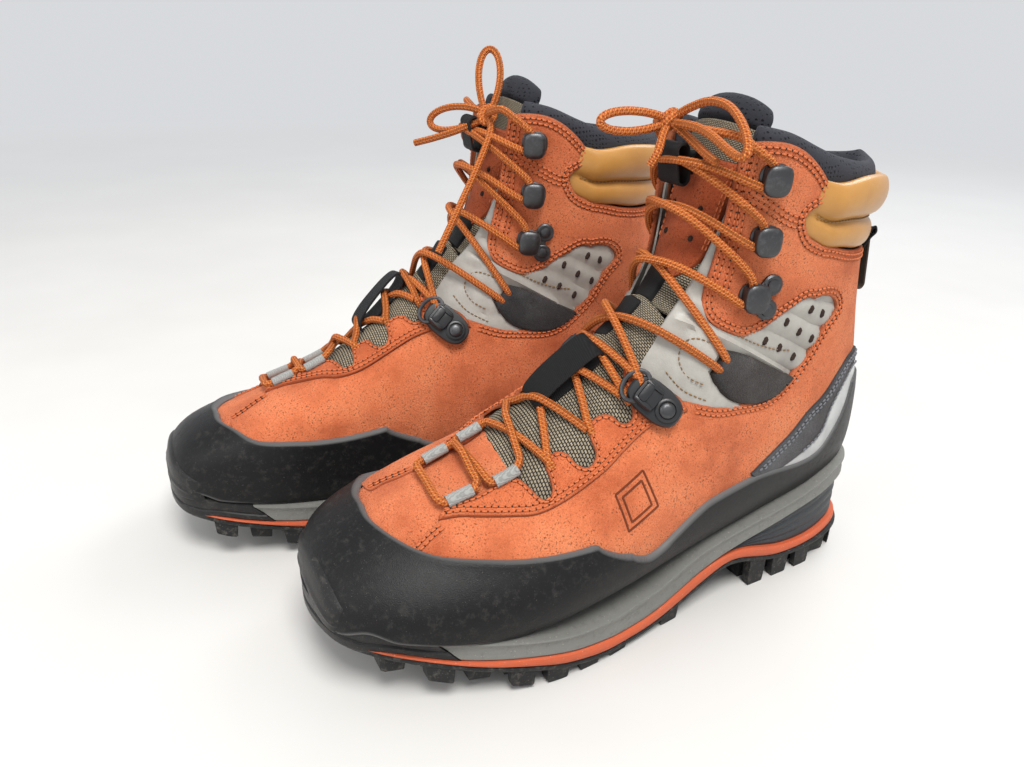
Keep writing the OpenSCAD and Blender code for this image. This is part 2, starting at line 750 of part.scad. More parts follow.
module left_boot() {
    translate([left_offset, left_setback, 0]) scale(boot_length / design_length) children();
}
module right_boot() {
    translate([-right_offset, -right_lead, 0]) rotate([0, 0, -right_turn])
        mirror([1, 0, 0]) scale(boot_length / design_length) children();
}

left_boot() outsole();  // left_outsole
left_boot() sole_stripe();  // left_sole_stripe
left_boot() midsole();  // left_midsole
left_boot() heel_insert();  // left_heel_insert
left_boot() shank();  // left_shank
left_boot() lasting_board();  // left_lasting_board
left_boot() footbed();  // left_footbed
left_boot() rand();  // left_rand
left_boot() toe_puff();  // left_toe_puff
left_boot() heel_counter();  // left_heel_counter
left_boot() lining();  // left_lining
left_boot() vamp();  // left_vamp
left_boot() quarters();  // left_quarters
left_boot() heel_overlay();  // left_heel_overlay
left_boot() back_strip();  // left_back_strip
left_boot() flex_panels();  // left_flex_panels
left_boot() cuff();  // left_cuff
left_boot() flex_cuff();  // left_flex_cuff
left_boot() collar();  // left_collar
left_boot() tongue();  // left_tongue
left_boot() tongue_facing();  // left_tongue_facing
left_boot() throat_mesh();  // left_throat_mesh
left_boot() lace_keepers();  // left_lace_keepers
left_boot() webbing_loops();  // left_webbing_loops
left_boot() lock_plates();  // left_lock_plates
left_boot() lock_rivets();  // left_lock_rivets
left_boot() lace_hooks();  // left_lace_hooks
left_boot() lace_lower();  // left_lace_lower
left_boot() lace_upper();  // left_lace_upper
left_boot() heel_loop();  // left_heel_loop
right_boot() outsole();  // right_outsole
right_boot() sole_stripe();  // right_sole_stripe
right_boot() midsole();  // right_midsole
right_boot() heel_insert();  // right_heel_insert
right_boot() shank();  // right_shank
right_boot() lasting_board();  // right_lasting_board
right_boot() footbed();  // right_footbed
right_boot() rand();  // right_rand
right_boot() toe_puff();  // right_toe_puff
right_boot() heel_counter();  // right_heel_counter
right_boot() lining();  // right_lining
right_boot() vamp();  // right_vamp
right_boot() quarters();  // right_quarters
right_boot() heel_overlay();  // right_heel_overlay
right_boot() back_strip();  // right_back_strip
right_boot() flex_panels();  // right_flex_panels
right_boot() cuff();  // right_cuff
right_boot() flex_cuff();  // right_flex_cuff
right_boot() collar();  // right_collar
right_boot() tongue();  // right_tongue
right_boot() tongue_facing();  // right_tongue_facing
right_boot() throat_mesh();  // right_throat_mesh
right_boot() lace_keepers();  // right_lace_keepers
right_boot() webbing_loops();  // right_webbing_loops
right_boot() lock_plates();  // right_lock_plates
right_boot() lock_rivets();  // right_lock_rivets
right_boot() lace_hooks();  // right_lace_hooks
right_boot() lace_lower();  // right_lace_lower
right_boot() lace_upper();  // right_lace_upper
right_boot() heel_loop();  // right_heel_loop
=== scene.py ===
"""Pair of mountaineering boots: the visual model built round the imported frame.

Each boot is built once in its own frame, in millimetres (X to the outer side, Y back to the heel,
Z up), and placed twice: straight for the left boot and mirrored for the right one.
"""

import json
import math

import bpy
import numpy as np
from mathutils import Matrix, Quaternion, Vector
from mathutils.geometry import delaunay_2d_cdt

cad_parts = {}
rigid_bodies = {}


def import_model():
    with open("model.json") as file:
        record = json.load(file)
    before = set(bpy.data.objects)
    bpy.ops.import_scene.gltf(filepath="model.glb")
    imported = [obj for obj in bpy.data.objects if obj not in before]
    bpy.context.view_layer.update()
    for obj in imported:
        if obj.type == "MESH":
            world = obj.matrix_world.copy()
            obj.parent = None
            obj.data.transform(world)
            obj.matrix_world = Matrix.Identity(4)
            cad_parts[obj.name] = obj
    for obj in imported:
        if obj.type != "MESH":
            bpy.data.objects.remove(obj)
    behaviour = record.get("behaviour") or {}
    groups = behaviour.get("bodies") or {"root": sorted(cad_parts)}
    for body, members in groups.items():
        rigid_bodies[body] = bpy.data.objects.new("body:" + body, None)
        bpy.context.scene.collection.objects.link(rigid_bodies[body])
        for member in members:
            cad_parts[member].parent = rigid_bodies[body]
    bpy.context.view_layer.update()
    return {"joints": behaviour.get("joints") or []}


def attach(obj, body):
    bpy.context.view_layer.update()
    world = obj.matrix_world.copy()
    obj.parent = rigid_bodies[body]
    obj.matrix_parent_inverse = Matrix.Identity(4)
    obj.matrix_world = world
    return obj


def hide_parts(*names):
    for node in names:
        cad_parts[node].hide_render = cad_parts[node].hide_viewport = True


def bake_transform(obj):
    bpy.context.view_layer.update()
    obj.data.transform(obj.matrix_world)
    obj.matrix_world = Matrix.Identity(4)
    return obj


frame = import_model()
SIDES = ("left", "right")
FLANKS = ((1, "outer"), (-1, "inner"))  # sign of the angle on each side of a foot
MM = 0.001

# ---- The last: the same loops as the CAD source ----

HALF_LENGTH = 150
FRONT_LINE = np.array([
    [299, 47], [296, 57], [286, 66], [268, 74], [243, 84], [214, 95.5], [186, 113.5], [165, 132],
    [150, 148], [141, 163], [136, 177], [133, 191], [131, 203], [129, 215], [128, 227], [127, 239],
    [126, 251]], float)
BACK_LINE = np.array([
    [299, 42], [297, 30], [288, 26], [272, 23], [246, 21], [212, 21], [170, 25], [122, 30],
    [74, 34], [28, 37], [4, 48], [-3, 76], [2, 108], [9, 138], [13, 166], [10, 192], [5, 214]], float)
OUTER_HALF = np.array([4, 21, 33, 43, 50, 54, 52, 46, 42, 39, 37, 36.5, 37, 38, 39.5, 40.5, 41], float)
INNER_HALF = np.array([4, 26, 39, 46, 49, 48, 44, 41, 40, 38, 36, 36, 37, 38, 39.5, 40.5, 41], float)
WIDEST = np.array([0.5, 0.42, 0.38, 0.36, 0.34, 0.33, 0.33, 0.36, 0.4, 0.46, 0.5] + [0.52] * 6)
OUTER_FRONT = np.array([2, 2.1, 2, 1.85, 1.7, 1.6, 1.6, 1.7, 1.9, 2.1, 2.3, 2.4] + [2.5] * 5)
INNER_FRONT = np.array([2, 2.2, 2.2, 2.1, 2, 1.9, 1.8, 1.8, 1.9, 2.1, 2.3, 2.4] + [2.5] * 5)
BACK_ROUND = np.array([2, 2.4, 2.6, 2.8, 3, 3, 3, 3, 2.8, 2.5, 2.2, 1.9] + [1.8] * 5)
RIDGE_SHIFT = np.array([-8, -9, -10, -12, -13, -12, -9, -4] + [0] * 9, float)


def curve(values, t):
    """Catmull-Rom value of a list at fractional indices."""
    n = len(values) - 1
    i = np.clip(np.floor(t), 0, n - 1).astype(int)
    f = t - i
    a, b = values[np.maximum(i - 1, 0)], values[i]
    c, d = values[i + 1], values[np.minimum(i + 2, n)]
    if values.ndim > 1:
        f = f[..., None]
    return 0.5 * (2 * b + (c - a) * f + (2 * a - 5 * b + 4 * c - d) * f * f
                  + (3 * b - a - 3 * c + d) * f * f * f)


def signed_power(x, p):
    return np.sign(x) * np.abs(x) ** p


FLAT = np.array([18.0, 0.72])  # about mm per station and per degree
STATION_LENGTH = 19.0


def signed(v):
    """The same angle between -180 and 180 degrees."""
    return (v + 180) % 360 - 180


def last_point(t, v):
    """Points of the last at stations t and angles v in degrees."""
    t, v = np.broadcast_arrays(np.asarray(t, float), np.asarray(v, float))
    v = signed(v)
    front, back = curve(FRONT_LINE, t), curve(BACK_LINE, t)
    mid = curve(WIDEST, t)
    outer = v >= 0
    half = np.where(outer, curve(OUTER_HALF, t), curve(INNER_HALF, t))
    front_round = np.where(outer, curve(OUTER_FRONT, t), curve(INNER_FRONT, t))
    c, s = np.cos(np.radians(v)), np.sin(np.radians(v))
    p = 2 / np.where(c >= 0, front_round, curve(BACK_ROUND, t))
    share = np.where(c >= 0, mid + (1 - mid) * np.abs(c) ** p, mid - mid * np.abs(c) ** p)
    x = half * signed_power(s, p) + curve(RIDGE_SHIFT, t) * np.maximum(c, 0) ** 1.5
    at = back + (front - back) * share[..., None]
    return np.stack([x, HALF_LENGTH - at[..., 0], at[..., 1]], -1)


def on_last(tv):
    return last_point(tv[:, 0], tv[:, 1])


def unit(a):
    return a / np.maximum(np.linalg.norm(a, axis=-1, keepdims=True), 1e-9)


def tangents(t, v):
    h = 0.05
    t = np.clip(t, 0.06, 16)
    along = (last_point(np.minimum(t + h, 16), v) - last_point(np.maximum(t - h, 0), v)) / (2 * h)
    around = (last_point(t, v + 1.0) - last_point(t, v - 1.0)) / 2
    return along, around


def normal(t, v):
    along, around = tangents(t, v)
    return unit(np.cross(around, along))


def skin(t, v, d=0.0):
    """Points at distance d outside the last."""
    t, v = np.broadcast_arrays(np.asarray(t, float), np.asarray(v, float))
    return last_point(t, v) + np.asarray(d, float)[..., None] * normal(t, v)


def mirrored(line, side):
    """A line of [station, angle] places on the outer side, or its mirror image on the inner side."""
    return [[t, side * v] for t, v in line]


def side_to_tv(points, side=1):
    """Stations and angles of side-view points [ahead of the heel, height] on one side."""
    grid = np.arange(0, 16.001, 0.02)
    front, back = curve(FRONT_LINE, grid), curve(BACK_LINE, grid)
    rows = []
    for p in np.array(points, float):
        chord, arm = front - back, p - back
        g = chord[:, 0] * arm[:, 1] - chord[:, 1] * arm[:, 0]
        found = []
        for i in np.where(np.sign(g[:-1]) != np.sign(g[1:]))[0]:
            t = grid[i] + 0.02 * g[i] / (g[i] - g[i + 1])
            a, b = curve(FRONT_LINE, np.array(t)), curve(BACK_LINE, np.array(t))
            share = np.dot(p - b, a - b) / np.dot(a - b, a - b)
            found.append((max(0, -share, share - 1), t, share))  # how far it misses the chord
        _, t, share = min(found)
        mid = curve(WIDEST, np.array(t))
        if share >= mid:
            e = curve(OUTER_FRONT if side > 0 else INNER_FRONT, np.array(t))
            c = min(1, (share - mid) / (1 - mid)) ** (e / 2)
        else:
            c = -(min(1, (mid - share) / mid) ** (curve(BACK_ROUND, np.array(t)) / 2))
        rows.append([t, side * math.degrees(math.acos(c))])
    return rows


# ---- Paths and meshes ----


def smooth_path(points, step=0.1, closed=False):
    """Dense Catmull-Rom path through points of any dimension."""
    p = np.array(points, float)
    if len(p) < 3 and not closed:
        f = np.linspace(0, 1, 12)[:, None]
        return p[0] + (p[-1] - p[0]) * f
    if closed:
        q = np.concatenate([p[-1:], p, p[:2]])
        t = np.arange(1, len(p) + 1, step)
        return curve(q, t)
    return curve(p, np.append(np.arange(0, len(p) - 1, step), len(p) - 1.0))


def full_turn(count):
    """Evenly spaced angles round a full turn."""
    return np.arange(count) * 2 * math.pi / count


def resample(path, spacing, points=None):
    """Points along a path at even spacing, measured on points if they are given."""
    length = steps_along(path if points is None else points)
    n = max(2, int(round(length[-1] / spacing)))
    at = np.linspace(0, length[-1], n + 1)
    return np.stack([np.interp(at, length, path[:, k]) for k in range(path.shape[1])], 1)


def outline_tv(segments, spacing=1.8):
    """Closed outline from smooth segments that meet in corners."""
    out = []
    for seg in segments:
        path = smooth_path(seg, 0.08)
        out.append(resample(path, spacing, on_last(path))[:-1])
    return np.concatenate(out)


def signed_area(p):
    return 0.5 * np.sum(p[:, 0] * np.roll(p[:, 1], -1) - np.roll(p[:, 0], -1) * p[:, 1])


def inside_polygon(q, poly):
    x, y = q[:, 0][:, None], q[:, 1][:, None]
    a, b = poly, np.roll(poly, -1, 0)
    cross = ((a[:, 1] > y) != (b[:, 1] > y)) & (
        x < (b[:, 0] - a[:, 0]) * (y - a[:, 1]) / (b[:, 1] - a[:, 1] + 1e-12) + a[:, 0])
    return cross.sum(1) % 2 == 1


def segment_distance(q, a, b, chunk=1500):
    """Distance from each point of q to the nearest of the segments a-b."""
    out = np.empty(len(q))
    d = b - a
    dd = np.maximum((d * d).sum(1), 1e-12)
    for i in range(0, len(q), chunk):
        p = q[i:i + chunk, None, :] - a[None]
        f = np.clip((p * d).sum(2) / dd, 0, 1)
        out[i:i + chunk] = np.sqrt(((p - f[..., None] * d) ** 2).sum(2)).min(1)
    return out


def inset_tv(tv, distance, closed=True, side=1):
    """Moves a path on the last sideways by a distance in mm; side picks the direction."""
    t, v = tv[:, 0], tv[:, 1]
    if closed:
        step = np.roll(tv, -1, 0) - np.roll(tv, 1, 0)
    else:
        step = np.gradient(tv, axis=0)
    along, around = tangents(t, v)
    direction = unit(along * step[:, :1] + around * step[:, 1:])
    inward = side * np.cross(unit(np.cross(around, along)), direction)
    aa, bb, ab = (along * along).sum(1), (around * around).sum(1), (along * around).sum(1)
    pa, pb = (inward * along).sum(1), (inward * around).sum(1)
    det = aa * bb - ab * ab
    move = np.stack([(pa * bb - pb * ab) / det, (pb * aa - pa * ab) / det], 1)
    return tv + distance * move


def panel_mesh(segments, top, inside, spacing, rings, edge_roll, bulge):
    """Closed sheet on the last. top and inside are offsets in mm; its edge rolls down to inside
    over edge_roll. rings are extra rows of points along the edge.
    Returns vertices, faces, each vertex's distance from the edge and its [station, angle]."""
    rim = outline_tv(segments)
    flat = rim * FLAT
    if signed_area(flat) > 0:
        rim, flat = rim[::-1], flat[::-1]
    rim3 = on_last(rim)
    lo, hi = flat.min(0), flat.max(0)
    nx, ny = int((hi[0] - lo[0]) / spacing) + 2, int((hi[1] - lo[1]) / (spacing * 0.87)) + 2
    gx, gy = np.meshgrid(np.arange(nx), np.arange(ny))
    grid = np.stack([lo[0] + (gx + 0.5 * (gy % 2)) * spacing, lo[1] + gy * spacing * 0.87], -1)
    grid = grid.reshape(-1, 2)
    grid = grid[inside_polygon(grid, flat)] / FLAT
    edge = segment_distance(on_last(grid), rim3, np.roll(rim3, -1, 0))
    grid = grid[edge > rings[-1] + 0.5 * spacing]
    extra = []
    for r in rings:
        ring = inset_tv(rim, r)
        keep = inside_polygon(ring * FLAT, flat)
        d = segment_distance(on_last(ring), rim3, np.roll(rim3, -1, 0))
        extra.append(ring[keep & (d > 0.75 * r)])
    points = np.concatenate([rim] + extra + [grid])
    coords = [Vector(p) for p in points * FLAT]
    n = len(rim)
    verts, _, faces, _, _, _ = delaunay_2d_cdt(coords, [], [list(range(n))], 1, 1e-5)
    tv = np.array([list(p) for p in verts]) / FLAT
    tris = np.array([f for f in faces if len(f) == 3])
    a, b, c = (tv[tris[:, k]] * FLAT for k in range(3))
    area = (b[:, 0] - a[:, 0]) * (c[:, 1] - a[:, 1]) - (b[:, 1] - a[:, 1]) * (c[:, 0] - a[:, 0])
    tris[area > 0] = tris[area > 0][:, ::-1]
    p3 = on_last(tv)
    edge = segment_distance(p3, rim3, np.roll(rim3, -1, 0))
    high = top(tv, edge) if callable(top) else np.full(len(tv), float(top))
    low = inside(tv, edge) if callable(inside) else np.full(len(tv), float(inside))
    roll = np.sqrt(np.clip(1 - (1 - np.clip(edge / edge_roll, 0, 1)) ** 2, 0, 1))
    height = low + (high - low) * (0.25 + 0.75 * roll)
    if bulge is not None:
        height = height + bulge(tv, edge)
    nrm = normal(tv[:, 0], tv[:, 1])
    upper, lower = p3 + height[:, None] * nrm, p3 + low[:, None] * nrm
    m = len(tv)
    count = {}
    for f in tris:
        for i, j in ((f[0], f[1]), (f[1], f[2]), (f[2], f[0])):
            count[(i, j)] = 1
    border = [(i, j) for (i, j) in count if (j, i) not in count]
    out = [tuple(f) for f in tris] + [tuple(f[::-1] + m) for f in tris]
    out += [(j, i, i + m, j + m) for i, j in border]
    return np.concatenate([upper, lower]), out, np.concatenate([edge, edge]), np.concatenate([tv, tv])


def grid_mesh(points, ring=False):
    """Tube from a grid of points (nu, nw, 3), each row a closed section. It is capped unless it is a ring."""
    nu, nw = points.shape[:2]
    verts = points.reshape(-1, 3)
    faces = []
    for i in range(nu if ring else nu - 1):
        for j in range(nw):
            a, b = i, (i + 1) % nu
            c, d = j, (j + 1) % nw
            faces.append((a * nw + c, b * nw + c, b * nw + d, a * nw + d))
    if not ring:
        middle = len(verts)
        verts = np.concatenate([verts, points[0].mean(0)[None], points[-1].mean(0)[None]])
        for j in range(nw):
            d = (j + 1) % nw
            faces.append((middle, j, d))
            faces.append((middle + 1, (nu - 1) * nw + d, (nu - 1) * nw + j))
    return verts, faces


def solid(points, ring=False):
    """grid_mesh turned right side out."""
    verts, faces = grid_mesh(np.asarray(points, float), ring)
    volume = 0.0
    for f in faces:
        for k in range(1, len(f) - 1):
            volume += np.dot(verts[f[0]], np.cross(verts[f[k]], verts[f[k + 1]]))
    return verts, faces if volume > 0 else [tuple(reversed(f)) for f in faces]


def steps_along(points):
    """Distance along a path at each of its points."""
    return np.concatenate([[0], np.cumsum(np.linalg.norm(np.diff(points, axis=0), axis=1))])


def path_directions(path, ring=False):
    return unit(np.roll(path, -1, 0) - np.roll(path, 1, 0)) if ring else unit(np.gradient(path, axis=0))


def tube(path, radius, sides=10, closed=False):
    """Round tube along a path. Returns vertices, faces, distance along and share around."""
    p = np.array(path, float)
    d = path_directions(p, closed)
    side = np.zeros_like(p)
    ref = np.array([0, 0, 1.0]) if abs(d[0][2]) < 0.9 else np.array([0, 1.0, 0])
    side[0] = unit(np.cross(d[0], ref))
    for i in range(1, len(p)):
        side[i] = unit(side[i - 1] - d[i] * np.dot(side[i - 1], d[i]))
    other = np.cross(d, side)
    a = full_turn(sides)[:, None]
    circle = np.cos(a) * side[:, None] + np.sin(a) * other[:, None]
    verts, faces = grid_mesh(p[:, None] + radius * circle, closed)
    length = steps_along(p)
    along = np.repeat(length, sides)
    around = np.tile(np.arange(sides) / sides, len(p))
    if not closed:
        along = np.concatenate([along, [0, length[-1]]])
        around = np.concatenate([around, [0, 0]])
    return verts, faces, along, around


def join(parts):
    """Joins (vertices, faces, attributes...) tuples into one."""
    verts, faces, extra, base = [], [], [[] for _ in parts[0][2:]], 0
    for part in parts:
        verts.append(part[0])
        faces += [tuple(i + base for i in f) for f in part[1]]
        for k, values in enumerate(part[2:]):
            extra[k].append(values)
        base += len(part[0])
    return (np.concatenate(verts), faces) + tuple(np.concatenate(e) for e in extra)


# ---- Placing pieces ----


def boot_axes(side):
    """Origin and axes of a boot's own frame, from its ankle joint."""
    joint = next(j for j in frame["joints"] if j["name"] == side + "_cuff_flex")
    axis = unit(np.array(joint["axis"], float))
    up = np.array([0, 0, 1.0])
    back = np.cross(up, axis)
    across = axis if side == "left" else -axis
    pivot_back, pivot_up = 80, 120  # the ankle joint in the boot's frame
    origin = np.array(joint["pos_m"]) - MM * (pivot_back * back + pivot_up * up)
    return origin, np.stack([across, back, up])


AXES = {side: boot_axes(side) for side in SIDES}


def to_row(points, side):
    origin, axes = AXES[side]
    return origin + MM * np.asarray(points, float) @ axes


def emit(name, mesh, look, body, replaces, smooth=35, extra=None, sides=SIDES, subdivide=0):
    """Adds one piece for each boot. body is blend, or the part of the boot it rides on."""
    verts, faces = np.asarray(mesh[0], float), mesh[1]
    for side in sides:
        label = side + "_" + name
        if label in bpy.data.objects:  # the CAD node keeps its name
            label += "_surface"
        data = bpy.data.meshes.new(label)
        polygons = faces if side == "left" else [tuple(reversed(f)) for f in faces]
        data.from_pydata(to_row(verts, side).tolist(), [], [tuple(int(i) for i in f) for f in polygons])
        data.validate()
        rest = data.attributes.new("rest", "FLOAT_VECTOR", "POINT")
        rest.data.foreach_set("vector", verts.astype(np.float32).ravel())
        for key, values in (extra or {}).items():
            layer = data.attributes.new(key, "FLOAT", "POINT")
            layer.data.foreach_set("value", np.asarray(values, np.float32))
        data.polygons.foreach_set("use_smooth", [True] * len(data.polygons))
        obj = bpy.data.objects.new(label, data)
        bpy.context.scene.collection.objects.link(obj)
        data.materials.append(M[look])
        if subdivide:
            mod = obj.modifiers.new("smooth", "SUBSURF")
            mod.levels = mod.render_levels = subdivide
        if smooth and not subdivide:
            sharp_edges(data, smooth)
        if body == "blend":
            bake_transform(obj)
        else:
            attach(obj, side + "_" + body)
        if replaces:
            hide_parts(*[side + "_" + n for n in replaces])


def sharp_edges(data, angle):
    """Marks edges sharper than an angle, so that smooth shading stops there."""
    normals = np.zeros(len(data.polygons) * 3)
    data.polygons.foreach_get("normal", normals)
    normals = normals.reshape(-1, 3)
    owners = {}
    for poly in data.polygons:
        for key in poly.edge_keys:
            owners.setdefault(key, []).append(poly.index)
    limit = math.cos(math.radians(angle))
    pairs = [owners.get(tuple(sorted(e.vertices)), []) for e in data.edges]
    flags = [len(p) != 2 or bool(np.dot(normals[p[0]], normals[p[1]]) < limit) for p in pairs]
    attribute = data.attributes.get("sharp_edge") or data.attributes.new("sharp_edge", "BOOLEAN", "EDGE")
    attribute.data.foreach_set("value", flags)


# ---- Materials ----


class Nodes:
    """Small helper that adds and links shader nodes."""

    def __init__(self, name):
        self.material = bpy.data.materials.new(name)
        self.material.use_nodes = True
        self.tree = self.material.node_tree
        self.bsdf = self.tree.nodes["Principled BSDF"]

    def add(self, kind, inputs=None, **settings):
        node = self.tree.nodes.new(kind)
        for key, value in settings.items():
            setattr(node, key, value)
        for key, value in (inputs or {}).items():
            self.put(node, key, value)
        return node

    def put(self, node, key, value):
        """Links a socket to a node's input, or sets the input to a value."""
        if isinstance(value, bpy.types.NodeSocket):
            self.tree.links.new(value, node.inputs[key])
        else:
            node.inputs[key].default_value = value

    def attribute(self, name, output="Fac"):
        return self.add("ShaderNodeAttribute", attribute_name=name).outputs[output]

    def rest(self):
        return self.attribute("rest", "Vector")

    def noise(self, scale, detail=3.0, rough=0.5, vector=None):
        return self.add("ShaderNodeTexNoise", {
            "Vector": vector or self.rest(), "Scale": scale, "Detail": detail,
            "Roughness": rough}).outputs["Fac"]

    def math(self, operation, a, b=0.0, c=None):
        inputs = {0: a, 1: b}
        if c is not None:
            inputs[2] = c
        return self.add("ShaderNodeMath", inputs, operation=operation).outputs[0]

    def times(self, a, b):
        return self.math("MULTIPLY", a, b)

    def plus(self, a, b):
        return self.math("ADD", a, b)

    def wave(self, turns):
        return self.math("SINE", self.times(turns, 2 * math.pi))

    def half_up(self, value):
        """Maps -1...1 to 0...1."""
        return self.math("MULTIPLY_ADD", value, 0.5, 0.5)

    def at_edge(self, stops):
        """Ramp over the distance from the piece's edge, in centimetres."""
        return self.ramp(self.math("DIVIDE", self.attribute("edge"), 10), stops)

    def ramp(self, fac, stops):
        node = self.add("ShaderNodeValToRGB", {"Fac": fac})
        elements = node.color_ramp.elements
        while len(elements) < len(stops):
            elements.new(0.5)
        for element, (position, color) in zip(elements, stops):
            element.position = position
            if isinstance(color, (int, float)):
                color = (color, color, color)
            element.color = (*color, 1)
        return node.outputs["Color"]

    def mix(self, fac, a, b):
        """Mixes two colours, each a socket or (red, green, blue)."""
        a, b = (c if isinstance(c, bpy.types.NodeSocket) else (*c, 1) for c in (a, b))
        return self.add("ShaderNodeMix", {0: fac, 6: a, 7: b}, data_type="RGBA").outputs[2]

    def bump(self, height, distance, strength):
        """Bump of a depth in mm."""
        return self.add("ShaderNodeBump", {"Height": height, "Distance": distance * MM,
                                           "Strength": strength}).outputs["Normal"]

    def done(self, color, rough, bump=None, **more):
        for key, value in dict({"Base Color": color, "Roughness": rough}, **more).items():
            self.put(self.bsdf, key.replace("_", " "), value)
        if bump is not None:
            self.put(self.bsdf, "Normal", bump)
        return self.material


def suede(name, base, dark, light, specks=0.75):
    """Brushed leather: blotches, nap, dark specks and darker cut edges."""
    n = Nodes(name)
    blotch = n.noise(0.035, 4, 0.6)
    nap = n.noise(1.3, 5, 0.75)
    fine = n.noise(3.2, 3, 0.7)
    color = n.ramp(blotch, [(0.3, dark), (0.5, base), (0.72, light)])
    color = n.mix(n.times(n.ramp(nap, [(0.36, 1.0), (0.6, 0.0)]), 0.55), color, dark)
    color = n.mix(n.times(n.ramp(fine, [(0.5, 0.0), (0.7, 1.0)]), 0.4), color,
                  tuple(min(1.0, 1.25 * c + 0.03) for c in light))
    speck = n.times(n.ramp(n.noise(1.2, 2, 0.5), [(0.355, 1.0), (0.4, 0.0)]),
                   n.ramp(n.noise(0.07, 2, 0.5), [(0.3, 0.15), (0.6, specks)]))
    color = n.mix(speck, color, tuple(0.25 * c for c in dark))
    rim = n.at_edge([(0.0, 0.75), (0.07, 0.25), (0.16, 0.0)])
    color = n.mix(rim, color, tuple(0.45 * c for c in dark))
    height = n.plus(n.times(nap, 1.3), n.times(fine, 0.6))
    return n.done(color, 0.88, n.bump(height, 0.75, 0.9), Sheen_Weight=0.12, Sheen_Roughness=0.5,
                  Sheen_Tint=(1, 0.75, 0.55, 1), Specular_IOR_Level=0.2)


def rubber(name, base, rough=0.5, grain=0.6, dust=0.25, dust_color=(0.34, 0.31, 0.27), lip=0.0):
    """Moulded rubber with fine grain, scuffs and settled dust; with lip, a painted highlight in lighter grey
    along its edges.
    """
    n = Nodes(name)
    wide = n.noise(0.03, 4, 0.6)
    scuff = n.ramp(n.noise(0.25, 6, 0.75), [(0.52, 0.0), (0.72, 1.0)])
    color = n.mix(n.times(wide, 0.6), base, tuple(1.6 * c + 0.004 for c in base))
    color = n.mix(n.times(scuff, dust), color, dust_color)
    spot = n.ramp(n.noise(1.9, 1, 0.3), [(0.74, 0.0), (0.775, 1.0)])
    color = n.mix(n.times(spot, min(1.0, 1.7 * dust)), color, (0.5, 0.47, 0.42))
    # painted highlight: a lighter grey band along the piece's edges stands in for the light caught by the
    # rand's bevelled top lip
    if lip:
        rim = n.at_edge([(0.0, lip), (0.16, 0.5 * lip), (0.25, 0.0)])
        color = n.mix(rim, color, (0.14, 0.14, 0.14))
    roughness = n.plus(n.times(scuff, 0.25), rough)
    height = n.plus(n.noise(2.2, 2, 0.6), n.times(wide, 0.4))
    return n.done(color, roughness, n.bump(height, 0.22 * grain, 0.7), Specular_IOR_Level=0.22)


def leather(name, base, dark, grain=0.5, rough=0.42):
    """Smooth grained leather."""
    n = Nodes(name)
    cells = n.add("ShaderNodeTexVoronoi", {"Vector": n.rest(), "Scale": 0.85},
                  feature="DISTANCE_TO_EDGE").outputs["Distance"]
    color = n.ramp(n.noise(0.05, 4, 0.6), [(0.3, dark), (0.65, base)])
    color = n.mix(n.times(n.ramp(cells, [(0.0, 1.0), (0.09, 0.0)]), 0.22), color, dark)
    rim = n.at_edge([(0.0, 0.6), (0.1, 0.0)])
    color = n.mix(rim, color, tuple(0.6 * c for c in dark))
    height = n.plus(n.ramp(cells, [(0.0, 0.0), (0.16, 1.0)]), n.noise(0.4, 3, 0.6))
    return n.done(color, rough, n.bump(height, 0.12 * grain, 0.6), Specular_IOR_Level=0.45)


def woven(name, base, light, size=(1.9, 1.05), gap=0.22, depth=0.5, rough=0.8):
    """Staggered flat threads on a darker ground, along and across the piece."""
    n = Nodes(name)
    across = n.add("ShaderNodeSeparateXYZ", {0: n.rest()}).outputs[0]
    place = n.add("ShaderNodeCombineXYZ", {0: across, 1: n.attribute("up")}).outputs[0]
    brick = n.add("ShaderNodeTexBrick", {
        "Vector": place, "Color1": (*light, 1), "Color2": (*[0.75 * c for c in light], 1),
        "Mortar": (*base, 1), "Scale": 1.0, "Mortar Size": gap, "Mortar Smooth": 0.3,
        "Brick Width": size[0], "Row Height": size[1]})
    color = n.mix(n.times(n.noise(0.06, 3, 0.6), 0.3), brick.outputs["Color"], base)
    height = n.math("SUBTRACT", 1.0, brick.outputs["Fac"])
    return n.done(color, rough, n.bump(height, depth, 0.9), Specular_IOR_Level=0.25)


def ribbed(name, base, light, pitch=0.9, depth=0.3, rough=0.75):
    """Woven tape: fine ribs across it and a slight fleck."""
    n = Nodes(name)
    x, y, z = n.add("ShaderNodeSeparateXYZ", {0: n.rest()}).outputs
    a = n.math("DIVIDE", n.plus(x, n.times(y, 0.4)), pitch)
    b = n.math("DIVIDE", n.math("SUBTRACT", z, n.times(y, 0.62)), pitch)
    height = n.times(n.wave(a), n.wave(b))
    color = n.mix(n.ramp(n.half_up(height), [(0.2, 0.0), (0.8, 1.0)]), base, light)
    color = n.mix(n.times(n.noise(0.4, 3, 0.6), 0.3), color, base)
    return n.done(color, rough, n.bump(height, depth, 0.8), Specular_IOR_Level=0.25)


def knit(name, base, light, scale=0.55, depth=0.6):
    """Spacer mesh: small round cells in a soft fabric."""
    n = Nodes(name)
    cells = n.add("ShaderNodeTexVoronoi", {"Vector": n.rest(), "Scale": scale, "Randomness": 0.25},
                  feature="F1").outputs["Distance"]
    hole = n.ramp(cells, [(0.12, 1.0), (0.34, 0.0)])
    color = n.mix(hole, light, base)
    fuzz = n.noise(2.5, 3, 0.7)
    color = n.mix(n.times(fuzz, 0.3), color, tuple(1.6 * c for c in light))
    height = n.math("SUBTRACT", n.times(fuzz, 0.3), hole)
    return n.done(color, 0.85, n.bump(height, depth, 0.8), Sheen_Weight=0.06,
                  Sheen_Tint=(0.7, 0.75, 0.9, 1), Specular_IOR_Level=0.2)


